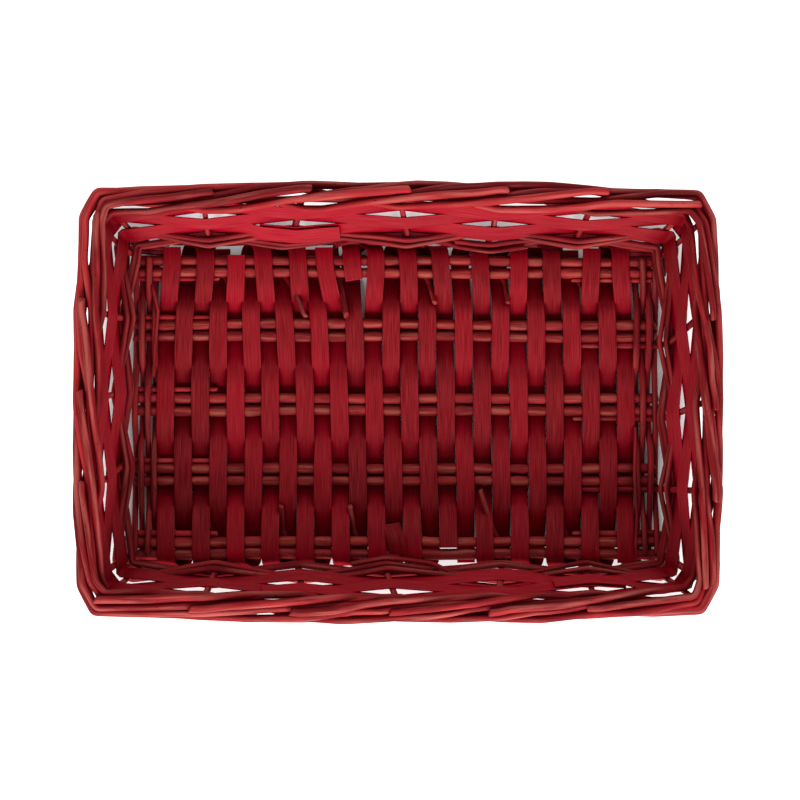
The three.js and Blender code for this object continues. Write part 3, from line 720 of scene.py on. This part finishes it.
# Border: how far out and up a rod lies, in rod steps, at each half stake that it has passed.
BORDER_BEND = 4.5
BORDER_CLEAR = 0.6
BRAID_OUT = [0, -0.08, 0, 0.9, 1.35, 1.6, 1.6, 1.45, 1.1, 0.05, -1.17, -1.06, -0.6, 0.1, 0.8]
BRAID_UP = [0, 0.42, 1, 1, 0.75, 0.3, -0.22, -0.75, -1.1, -1.1, -0.5, 0.78, 1.8, 1.9, 1.8]
BRAID_TAIL = 0.1
BRAID_STEP = 0.017
STAKE_SPACING = 60
CORNER_TAIL = 4
CORNER_TAIL_POINTS = 4
CORNER_TUCK = 4.5
CORNER_NUDGE = 0.12
KINK_COUNT = 32
KINK_SPACING = (0.25, 0.7)
KINK_START = 0.8
KINK_OUT = 1.3
KINK_UP = 0.9
STAKE_TONE = (0.3, 0.65)
# For each wall, the stakes and the border rods they turn into are made lighter or darker, so that each side
# matches how brightly it is lit: painted light and shade.
WALL_LIGHT_AND_SHADE = {"back": -0.3, "right": -0.2, "front": -0.18, "left": 0.3}
STAKE_GLOSS = 0.36
STAKE_DEEP = (0.160, 0.002, 0.006)
STAKE_FAIR = (0.420, 0.018, 0.024)
STAKE_WORN_AND_SHEEN = (0.600, 0.150, 0.120)

strip_edge_y = strip_turn_y + strip_clear + STRIP_THICK / 2
stick_half_length = strip_edge_x + END_ROD_COUNT * (END_ROD_DIA + END_ROD_GAP) + STICK_TIP
end_rod_top_z = inner_stick_z + stick_radius + BASE_GAP + END_ROD_DIA
wall_foot_z = max(strip_over_z[0] + STRIP_THICK / 2, end_rod_top_z)
wale_radius = WALE_DIA / 2
wale_pitch = WALE_DIA + BASE_GAP
first_wale_z = wall_foot_z + BASE_GAP + wale_radius
first_band_z = first_wale_z + (WALE_COUNT - 1) * wale_pitch + wale_radius + BAND_GAP
border_floor_z = first_band_z + BAND_COUNT * (BAND_HEIGHT + BAND_GAP) - BAND_GAP + BORDER_CLEAR
rod_step = STAKE_DIA + WALL_GAP
rim_z = border_floor_z + STAKE_DIA / 2 - min(BRAID_UP) * rod_step
braid_reach = max(BRAID_OUT) * rod_step + STAKE_DIA / 2
rim_half_x = RIM_LENGTH / 2 - braid_reach
rim_half_y = RIM_WIDTH / 2 - braid_reach
wall_foot_x = stick_half_length + WALL_SET_OUT
wall_foot_y = strip_edge_y + WALL_SET_OUT
foot_radius = FOOT_DIA / 2
foot_z = STRIP_THICK + BASE_GAP + foot_radius


def long_foot(number):
    """Route of a foot of the back wall: on top of a strip that goes under the outer pair, and up with it."""
    slope_start = pair_y[0] - flat_half
    slope = (strip_over_z[1] - strip_under_z[0]) / (slope_start - pair_y[1] - flat_half)
    seat = (STRIP_THICK / 2 + BASE_GAP + foot_radius) * np.hypot(1, slope)
    slope_aside, tip_aside = FOOT_ASIDE[number]
    edge_x = pass_x(number) - LONG_FOOT_ENTRY
    tip_x = pass_x(number) + LONG_FOOT_TIP + tip_aside
    tip_y = strip_edge_y - LONG_FOOT_LENGTH - FOOT_LONGER[number]
    share = (strip_edge_y - slope_start) / (strip_edge_y - tip_y)
    slope_x = edge_x + slope_aside + share * (tip_x - edge_x - slope_aside)
    return [
        [tip_x, tip_y, strip_under_z[0] + slope * (slope_start - tip_y) + seat + FOOT_LIFT],
        [slope_x, slope_start, strip_under_z[0] + seat],
        [edge_x, strip_edge_y, foot_z],
    ]


def bend_up(from_x, to_x):
    """Bend from a foot up into the back wall, from one place along it to another."""
    early_x, late_x = (from_x + share * (to_x - from_x) for share in BEND_ASIDE)
    return [
        [early_x, wall_foot_y - FOOT_BEND, foot_z],
        [late_x, wall_foot_y - BEND_EASE * FOOT_BEND, foot_z + BEND_EASE * FOOT_BEND],
        [to_x, wall_foot_y, foot_z + FOOT_BEND],
    ]


def back_feet():
    """Routes of the feet of the back wall, left to right, each with its point at the foot of the wall. A
    corner foot ends under the outer pair and slants out to the corner."""
    feet = []
    for j in range(LONG_STAKES):
        place = 2 * j / (LONG_STAKES - 1) - 1
        if abs(place) == 1:
            x = place * (pass_x(pass_count) + CORNER_FOOT_SHIFT)
            wall_x = place * (wall_foot_x - CORNER_INSET_LONG)
            tip = [x, strip_edge_y - CORNER_FOOT_LENGTH, foot_z]
            turn = [x, strip_edge_y - CORNER_FOOT_TURN, foot_z]
            route = [tip, turn] + bend_up(x, wall_x)
        else:
            number = LONG_FOOT_PASSES[j - 1]
            x = pass_x(number) - LONG_FOOT_ENTRY
            wall_x = (x + place * (rim_half_x - CORNER_CUT_X)) / 2
            route = long_foot(number) + bend_up(x, x)
        feet.append((np.array(route), np.array([wall_x, wall_foot_y, wall_foot_z])))
    return feet


def right_feet():
    """Routes of the feet of the right wall, back to front. Each lies beside a pair of sticks, on the inner
    side of the outermost pairs and on the front side of the others."""
    reach = stick_offset + stick_radius + BASE_GAP + foot_radius
    feet = []
    for j in range(PAIR_COUNT):
        y = pair_y[j] + (reach if j == PAIR_COUNT - 1 else -reach)
        z = stick_z[j]
        wall_y = np.sign(pair_y[j]) * (wall_foot_y - CORNER_INSET_SHORT) if is_outer[j] else y
        early_y, late_y = (y + share * (wall_y - y) for share in SHORT_FOOT_ASIDE)
        route = [
            [stick_half_length - SHORT_FOOT_LENGTH, y, z],
            [wall_foot_x - FOOT_BEND, y, z],
            [wall_foot_x - BEND_EASE * FOOT_BEND, early_y, z + BEND_EASE * FOOT_BEND],
            [wall_foot_x, late_y, (z + wall_foot_z) / 2],
        ]
        feet.append((np.array(route), np.array([wall_foot_x, wall_y, wall_foot_z])))
    return feet


half_turn = np.array([-1, -1, 1])
half_feet = back_feet() + right_feet()
feet = half_feet + [(route * half_turn, base * half_turn) for route, base in half_feet]
stake_foot = np.array([base for route, base in feet])
rim_x = np.linspace(-1, 1, LONG_STAKES) * (rim_half_x - CORNER_CUT_X)
rim_y = np.linspace(1, -1, PAIR_COUNT) * (rim_half_y - CORNER_CUT_Y)
back_rim = np.stack([rim_x, rim_half_y - RIM_BOW_LONG * (rim_x / rim_half_x) ** 2], axis=1)
right_rim = np.stack([rim_half_x - RIM_BOW_SHORT * (rim_y / rim_half_y) ** 2, rim_y], axis=1)
half_rim = np.concatenate([back_rim, right_rim])
stake_rim = np.concatenate([half_rim, -half_rim])
stake_rim = np.column_stack([stake_rim, np.full(len(stake_rim), rim_z)])
stake_count = len(feet)

# The two stakes of a corner share one step of the border, a little before and after it.
side_sizes = [LONG_STAKES, PAIR_COUNT, LONG_STAKES, PAIR_COUNT]
side_starts = np.concatenate([[0], np.cumsum(np.array(side_sizes) - 1)])
border_steps = side_starts[-1]
stake_step = []
stake_name = []
for start, size, wall, corner in zip(side_starts, side_sizes, WALL_NAMES, CORNER_NAMES):
    step = start + np.arange(size, dtype=float)
    step[0] += CORNER_NUDGE
    step[-1] -= CORNER_NUDGE
    stake_step.append(step)
    stake_name += [f"stake_{wall}_{j + 1}" for j in range(size - 1)] + [f"corner_post_{corner}"]
stake_step = np.concatenate(stake_step)
all_steps = np.concatenate([stake_step, stake_step + border_steps])
half_steps = np.arange(len(BRAID_OUT)) / 2
border_run = len(BRAID_OUT) // 2


def stakes_at(z):
    """Middles of all stakes at a height, on the straight line from the foot of each to its rim point."""
    share = (z - wall_foot_z) / (rim_z - wall_foot_z)
    points = stake_foot + share * (stake_rim - stake_foot)
    points[:, 2] = z
    return points


def outward_at(points):
    """Sideways shift at each corner of a closed outline that moves both its edges out by one: the sum of
    the two edges' normals over one plus their product."""
    edge = np.roll(points, -1, axis=0)[:, :2] - points[:, :2]
    edge /= np.linalg.norm(edge, axis=1, keepdims=True)
    normal = np.column_stack([-edge[:, 1], edge[:, 0], np.zeros(len(edge))])
    before = np.roll(normal, 1, axis=0)
    return (normal + before) / (1 + (normal * before).sum(axis=1, keepdims=True))


def around_wall(places, shift, z):
    """Points of the wall outline at a height, at places counted in stakes, each shifted outward."""
    points = stakes_at(z)
    out = outward_at(points)
    k = np.floor(places).astype(int)
    share = (places - k)[:, None]
    here, there = (points[j] + shift[:, None] * out[j] for j in (k % stake_count, (k + 1) % stake_count))
    return here + share * (there - here)


def outward_from_middle(path):
    """Direction away from the tray's middle line and down, never along a foot, a post or a border rod."""
    flat = path[:, :2] / np.array([rim_half_x, rim_half_y]) ** 2
    flat /= np.linalg.norm(flat, axis=1, keepdims=True)
    return np.column_stack([flat, np.full(len(path), -1.0)])


def border_route(k, rng):
    """Route of a border rod from the top of its stake: round the wall's outline, moved out and up as the
    braid asks at each half stake, with kinks of random size between. A rod that ends at a corner is tucked
    in over its last stake and goes straight on for a short tail."""
    origin = round(stake_step[k])
    at_corner = (origin + border_run) % border_steps in side_starts % border_steps
    last_step = origin + border_run + (-CORNER_NUDGE if at_corner else BRAID_TAIL)
    steps = np.arange(stake_step[k] + BORDER_BEND / STAKE_SPACING, last_step, BRAID_STEP)
    travelled = np.maximum(steps - origin, 0)
    wander = np.clip(travelled / KINK_START, 0, 1)
    kinks = np.cumsum(rng.uniform(*KINK_SPACING, KINK_COUNT))
    out = rod_step * np.interp(travelled, half_steps, BRAID_OUT)
    out += KINK_OUT * wander * np.interp(travelled, kinks, rng.uniform(-1, 1, KINK_COUNT))
    out -= at_corner * CORNER_TUCK * np.clip(travelled - border_run + 1, 0, 1)
    up = rod_step * np.interp(travelled, half_steps, BRAID_UP)
    up += KINK_UP * wander * np.interp(travelled, kinks, rng.uniform(-1, 1, KINK_COUNT))
    plait = around_wall(np.interp(steps, all_steps, np.arange(2 * stake_count)), out, rim_z)
    plait[:, 2] += up
    crest = stakes_at(rim_z)[k] - np.array([0, 0, BEND_EASE * BORDER_BEND])
    route = [crest, *plait]
    if at_corner:
        heading = plait[-1] - plait[-CORNER_TAIL_POINTS]
        route.append(plait[-1] + CORNER_TAIL * heading / np.linalg.norm(heading))
    return route


stake_finish = stained_willow("stained_stake", STAKE_DEEP, STAKE_FAIR, STAKE_WORN_AND_SHEEN, STAKE_GLOSS)
for k in range(stake_count):
    rng = np.random.default_rng(STAKE_SEED + k)
    plain = stake_name[k].startswith("corner_post")
    route, base = feet[k]
    top_z = border_floor_z - WALL_GAP if plain else rim_z - BORDER_BEND
    stem, stem_along = walk([*route, base, stakes_at(top_z)[k]], ROUTE_STEP)
    whole = stem if plain else [*stem, *border_route(k, rng)]
    path, along = walk(settle(slip(eased(whole, STAKE_BELL))), STEP, rounded=True)
    thicker = rng.uniform(*STAKE_THICKER)
    stem_end = stem_along[-1]
    knots = [0, FOOT_TAPER, stem_end, stem_end + BORDER_TAPER, along[-1] + 1]
    widths = [FOOT_TIP_SHARE * FOOT_DIA, POST_DIA, POST_DIA, STAKE_DIA, BORDER_TIP_SHARE * STAKE_DIA]
    radius = thicker * np.interp(along, knots, widths) / 2
    surface, fibre = round_rod(path, along, radius, outward_from_middle(path), STAKE_SIDES, rng)
    fibre[:, :, 2] += rng.uniform(0, GRAIN_SPREAD)
    wall = stake_name[k].split("_")[1]
    # Random tone, plus the painted light or shade of the stake's wall.
    tone = rng.uniform(*STAKE_TONE) + WALL_LIGHT_AND_SHADE.get(wall, 0)
    piece = woven_piece(f"willow_{stake_name[k]}", surface, fibre, tone, stake_finish)
    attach(piece, "root")
    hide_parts(stake_name[k])

# Wale rods
# Four thin willow rods are woven round the foot of the wall, in and out of the stakes, and hold them
# upright. The end of each laps over its start.
WALE_SEED = 600
WALE_LAPS = [3, 4, 15, 14]
WALE_INSIDE = [0, 0, 1, 1]
WALE_FURTHER_IN = [0, 0, 2.6, 0.4]
WALE_FOOT_PASS = 12
WALE_BELL = 1.8
WALE_WANDER = 0.45
WALE_WAVE = 80
WALE_TAPER = (1.3, 1.0)
WALE_TONE = (0.25, 0.55)
ROW_SLACK = 0.2
LAP_REACH = 0.4
LAP_LEAD = 0.15

row_step = np.round(stake_step).astype(int) % border_steps
ends_wall = row_step == np.roll(row_step, -1)


def inner_corner(points, k, shift):
    """Three points of a row inside the two stakes of a corner: beside the stake that ends one wall, where
    the inner sides of the two walls meet, and beside the stake that starts the next wall."""
    before, last, first, after = points[[k - 1, k, (k + 1) % stake_count, (k + 2) % stake_count]]
    a = (last - before) / np.linalg.norm(last - before)
    b = (after - first) / np.linalg.norm(after - first)
    here = last - shift * np.array([-a[1], a[0], 0])
    there = first - shift * np.array([-b[1], b[0], 0])
    gap = there - here
    reach = (gap[0] * b[1] - gap[1] * b[0]) / (a[0] * b[1] - a[1] * b[0])
    return [here, here + reach * a, there]


def row_route(lap_stake, inside, shift, further_in, lap, z):
    """Corners of a row's route at a height: inside the even or the odd stakes, perhaps further in than they
    need be, and outside the others, once round, and then on beside its own start, on the side where it
    passes that stake."""
    stake = (lap_stake + np.arange(-1, stake_count + 2)) % stake_count
    side = np.where(row_step[stake] % 2 == inside, -1, 1)
    points = stakes_at(z)
    out = outward_at(points)[stake]
    sideways = np.where(side < 0, -shift - further_in, shift)
    middle = points[stake] + sideways[:, None] * out
    beside = middle + side[1] * lap * out
    run = []
    for i in range(1, len(stake) - 2):
        k = stake[i]
        if side[i] < 0 and ends_wall[k]:
            run += inner_corner(points, k, shift + further_in)[:2]
        elif side[i] < 0 and ends_wall[k - 1]:
            run += inner_corner(points, k - 1, shift + further_in)[2:]
        else:
            run.append(middle[i])
    start = middle[0] + (1 - LAP_REACH) * (middle[1] - middle[0])
    lead = 1 - LAP_REACH - LAP_LEAD
    before = middle[-3] + lead * (middle[-2] - middle[-3])
    step_over = beside[-3] + (1 - LAP_REACH) * (beside[-2] - beside[-3])
    end = beside[-2] + LAP_REACH * (beside[-1] - beside[-2])
    return np.array([start, *run, before, step_over, beside[-2], end])


wale_shift = POST_DIA / 2 + ROW_SLACK + wale_radius
for row in range(WALE_COUNT):
    rng = np.random.default_rng(WALE_SEED + row)
    z = first_wale_z + row * wale_pitch
    further_in = WALE_FURTHER_IN[row]
    route = row_route(WALE_LAPS[row], WALE_INSIDE[row], wale_shift, further_in, WALE_DIA + WALL_GAP, z)
    if row == 0:
        edge_x = pass_x(WALE_FOOT_PASS) - LONG_FOOT_ENTRY
        route = np.concatenate([long_foot(WALE_FOOT_PASS), bend_up(edge_x, edge_x), route])
    path, along = walk(settle(slip(eased(route, WALE_BELL))), STEP, rounded=True)
    path += WALE_WANDER * drift(along, WALE_WAVE, rng)[:, None] * outward_from_middle(path)
    radius = wale_radius * np.linspace(*WALE_TAPER, len(along))
    surface, fibre = round_rod(path, along, radius, outward_from_middle(path), THIN_SIDES, rng)
    fibre[:, :, 2] += rng.uniform(0, GRAIN_SPREAD)
    piece = woven_piece(f"foot_rod_{row + 1}", surface, fibre, rng.uniform(*WALE_TONE), thin_finish)
    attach(piece, "root")
    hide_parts(f"wale_rod_{row + 1}")

# Short thin rods fill the corners of the base, three along the tray and one across it in each. Three more
# lie along its back edge, under the rods of the wall.
SHORT_ROD_SEED = 650
SHORT_ROD_Z = 8
SHORT_ROD_SHIFT = 0.7
SHORT_ROD_ASIDE = 0.5
SHORT_ROD_UP = 0.8
SHORT_ROD_WAVE = 60
SHORT_ROD_THICKER = (0.95, 1.15)
SHORT_ROD_TONE = (0.15, 0.4)
CORNER_ROD_X = (145, 171)
CORNER_ROD_Y = [97.2, 100.2, 103.4]
CORNER_CROSS_X = 172.3
CORNER_CROSS_Y = (84, 106)
EDGE_ROD_X = [(-143, -66), (-54, 18), (30, 143)]
EDGE_ROD_Y = 103.6

short_rods = [[(first, EDGE_ROD_Y), (last, EDGE_ROD_Y)] for first, last in EDGE_ROD_X]
for corner in ((-1, -1), (-1, 1), (1, -1), (1, 1)):
    corner_rods = [[(x, y) for x in CORNER_ROD_X] for y in CORNER_ROD_Y]
    corner_rods.append([(CORNER_CROSS_X, y) for y in CORNER_CROSS_Y])
    short_rods += list(np.array(corner_rods) * corner)
for index, ends in enumerate(short_rods):
    rng = np.random.default_rng(SHORT_ROD_SEED + index)
    ends = np.array(ends) + rng.uniform(-SHORT_ROD_SHIFT, SHORT_ROD_SHIFT, (2, 2))
    path, along = walk(np.column_stack([ends, [SHORT_ROD_Z, SHORT_ROD_Z]]), STEP, rounded=True)
    path[:, 1] += SHORT_ROD_ASIDE * drift(along, SHORT_ROD_WAVE, rng)
    path[:, 2] += SHORT_ROD_UP * drift(along, SHORT_ROD_WAVE, rng)
    radius = np.full(len(along), wale_radius * rng.uniform(*SHORT_ROD_THICKER))
    surface, fibre = round_rod(path, along, radius, np.array([0.0, 0, 1]), THIN_SIDES, rng)
    fibre[:, :, 2] += rng.uniform(0, GRAIN_SPREAD)
    piece = woven_piece(f"short_rod_{index + 1}", surface, fibre, rng.uniform(*SHORT_ROD_TONE), thin_finish)
    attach(piece, "root")

# Wall bands
# Three wide crimson splints are woven round the wall above the thin rods, each inside the stakes where the
# one below it is outside. Each laps over its own start.
BAND_SEED = 700
BAND_THICK = 1.4
BAND_LAPS = [2, 13, 16]
BAND_INSIDE = [0, 1, 0]
BAND_REACH_DOWN = [4, 0.5, 0.5]
BAND_WIDER = 3.2
BAND_BELL = 1.6
BAND_WANDER = 0.5
BAND_WAVE = 150
BAND_CUP = 0.35
BAND_TONE = 0.55
BAND_TONE_CHANGE = 0.2
BAND_TONE_WAVE = 400
# Painted shade: the bands are darker where they run into the four corners of the tray.
CORNER_PAINTED_SHADE = 0.5
CORNER_SHADE_X = (133, 168)
CORNER_SHADE_Y = (72, 92)
BAND_GLOSS = 0.46
BAND_DEEP = (0.200, 0.0, 0.006)
BAND_FAIR = (0.410, 0.001, 0.017)
BAND_PALE = (0.590, 0.080, 0.084)

band_shift = POST_DIA / 2 + ROW_SLACK + BAND_THICK / 2
band_finish = stained_splint("stained_band", BAND_DEEP, BAND_FAIR, BAND_PALE, BAND_GLOSS)
for row in range(BAND_COUNT):
    rng = np.random.default_rng(BAND_SEED + row)
    high_z = first_band_z + row * (BAND_HEIGHT + BAND_GAP) + BAND_HEIGHT
    low_z = high_z - BAND_HEIGHT - BAND_REACH_DOWN[row]
    low = row_route(BAND_LAPS[row], BAND_INSIDE[row], band_shift, 0, BAND_THICK + WALL_GAP, low_z)
    high = row_route(BAND_LAPS[row], BAND_INSIDE[row], band_shift, 0, BAND_THICK + WALL_GAP, high_z)
    middle = (low + high) / 2
    reach = reach_along(middle)
    even = np.linspace(0, reach[-1], int(reach[-1]))
    path, along = walk(soften(rows_at(even, reach, middle), BAND_BELL), STEP, rounded=True)
    path[:, 2] += BAND_WANDER * drift(along, BAND_WAVE, rng)
    lean = soften(rows_at(even, reach, high - low), BAND_BELL)
    lean = rows_at(along / along[-1], even / even[-1], lean)
    surface, fibre = flat_splint(path, lean, high_z - low_z + BAND_WIDER, SPLINT_THICK, BAND_CUP, along, rng)
    fibre[:, :, 2] += rng.uniform(0, GRAIN_SPREAD)
    # Painted shade, darkening the band towards the corners.
    corner_shade = np.interp(np.abs(path[:, 0]), CORNER_SHADE_X, (0, 1))
    corner_shade *= np.interp(np.abs(path[:, 1]), CORNER_SHADE_Y, (0, 1))
    tone = BAND_TONE + BAND_TONE_CHANGE * drift(along, BAND_TONE_WAVE, rng) - CORNER_PAINTED_SHADE * corner_shade
    piece = woven_piece(f"splint_band_{row + 1}", surface, fibre, tone[:, None], band_finish)
    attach(piece, "root")
    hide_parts(f"wall_band_{row + 1}")

# Studio
# The tray stands on a pale sheet under an even light from all round, two soft lamps in front, to the left
# and to the right, and a weak one behind. To the camera, straight above, the sheet is white outside the tray.
FLOOR_SIZE = 6.0
FLOOR_COLOUR = (0.9, 0.89, 0.88)
FLOOR_ROUGH = 0.9
FLOOR_SHINE = 0.1
WHITE_FROM = (0.9, 1.02)
WORLD_STRENGTH = 0.5

floor_mesh = bpy.data.meshes.new("pale_sheet")
edge = FLOOR_SIZE / 2
corners = [(-edge, -edge, 0), (edge, -edge, 0), (edge, edge, 0), (-edge, edge, 0)]
floor_mesh.from_pydata(corners, [], [(0, 1, 2, 3)])
floor_finish = bpy.data.materials.new("pale_sheet")
floor_finish.use_nodes = True
floor_tree = floor_finish.node_tree
floor_skin = floor_tree.nodes["Principled BSDF"]
floor_skin.inputs["Base Color"].default_value = opaque(FLOOR_COLOUR)
floor_skin.inputs["Roughness"].default_value = FLOOR_ROUGH
floor_skin.inputs["Specular IOR Level"].default_value = FLOOR_SHINE
floor_skin.inputs["Emission Strength"].default_value = 1.0
floor_start = Shade(floor_tree)
spot = floor_start.add("ShaderNodeTexCoord", {}, {}, "Object")
share = (2 / (RIM_LENGTH * MM), 2 / (RIM_WIDTH * MM), 0)
spot = spot.add("ShaderNodeVectorMath", {"operation": "MULTIPLY"}, {0: spot, 1: share})
spot = spot.add("ShaderNodeVectorMath", {"operation": "ABSOLUTE"}, {0: spot})
x_share = spot.add("ShaderNodeSeparateXYZ", {}, {"Vector": spot}, "X")
y_share = spot.add("ShaderNodeSeparateXYZ", {}, {"Vector": spot}, "Y")
outside = x_share.math("MAXIMUM", y_share).between(*WHITE_FROM)
seen = floor_start.add("ShaderNodeLightPath", {}, {}, "Is Camera Ray")
floor_tree.links.new((outside * seen).socket, floor_skin.inputs["Emission Color"])
floor_mesh.materials.append(floor_finish)
floor = bpy.data.objects.new("pale_sheet", floor_mesh)
bpy.context.collection.objects.link(floor)

world = bpy.data.worlds.new("studio")
world.use_nodes = True
sky = world.node_tree.nodes["Background"]
sky.inputs["Color"].default_value = (1, 1, 1, 1)
sky.inputs["Strength"].default_value = WORLD_STRENGTH
bpy.context.scene.world = world

# Each lamp's place and size in metres, and its power in watts. It points at the tray's middle.
LAMPS = {
    "front_left": ((-0.5, -1.8, 1.18), (0.4, 0.8), 28.5),
    "front_right": ((0.5, -1.8, 1.18), (0.4, 0.8), 28.5),
    "behind": ((0, 1.9, 1.05), (1.4, 0.5), 10),
}

for label, (place, size, power) in LAMPS.items():
    lamp = bpy.data.lights.new(label, "AREA")
    lamp.shape = "RECTANGLE"
    lamp.size, lamp.size_y = size
    lamp.energy = power
    lamp_object = bpy.data.objects.new(label, lamp)
    lamp_object.location = place
    x, y, z = place
    lamp_object.rotation_euler = (np.arctan2(np.hypot(x, y), z), 0, np.arctan2(-x, y) + np.pi)
    bpy.context.collection.objects.link(lamp_object)

CAMERA_HEIGHT = 1511
CAMERA_ASIDE = (-44, -63)
CAMERA_SENSOR = 36
CAMERA_NEAR = 50
VIEW_WIDTH = 487
RIM_TOP = 83

camera = bpy.data.cameras.new("overhead_camera")
drop = CAMERA_HEIGHT - RIM_TOP
camera.sensor_width = CAMERA_SENSOR
camera.lens = CAMERA_SENSOR * np.linalg.norm([*CAMERA_ASIDE, drop]) / VIEW_WIDTH
camera.clip_start = CAMERA_NEAR * MM
camera_object = bpy.data.objects.new("overhead_camera", camera)
camera_object.location = np.array([*CAMERA_ASIDE, CAMERA_HEIGHT]) * MM
camera_object.rotation_euler = (np.arctan2(-CAMERA_ASIDE[1], drop), np.arctan2(CAMERA_ASIDE[0], drop), 0)
bpy.context.collection.objects.link(camera_object)
bpy.context.scene.camera = camera_object
bpy.context.scene.view_settings.view_transform = "Standard"
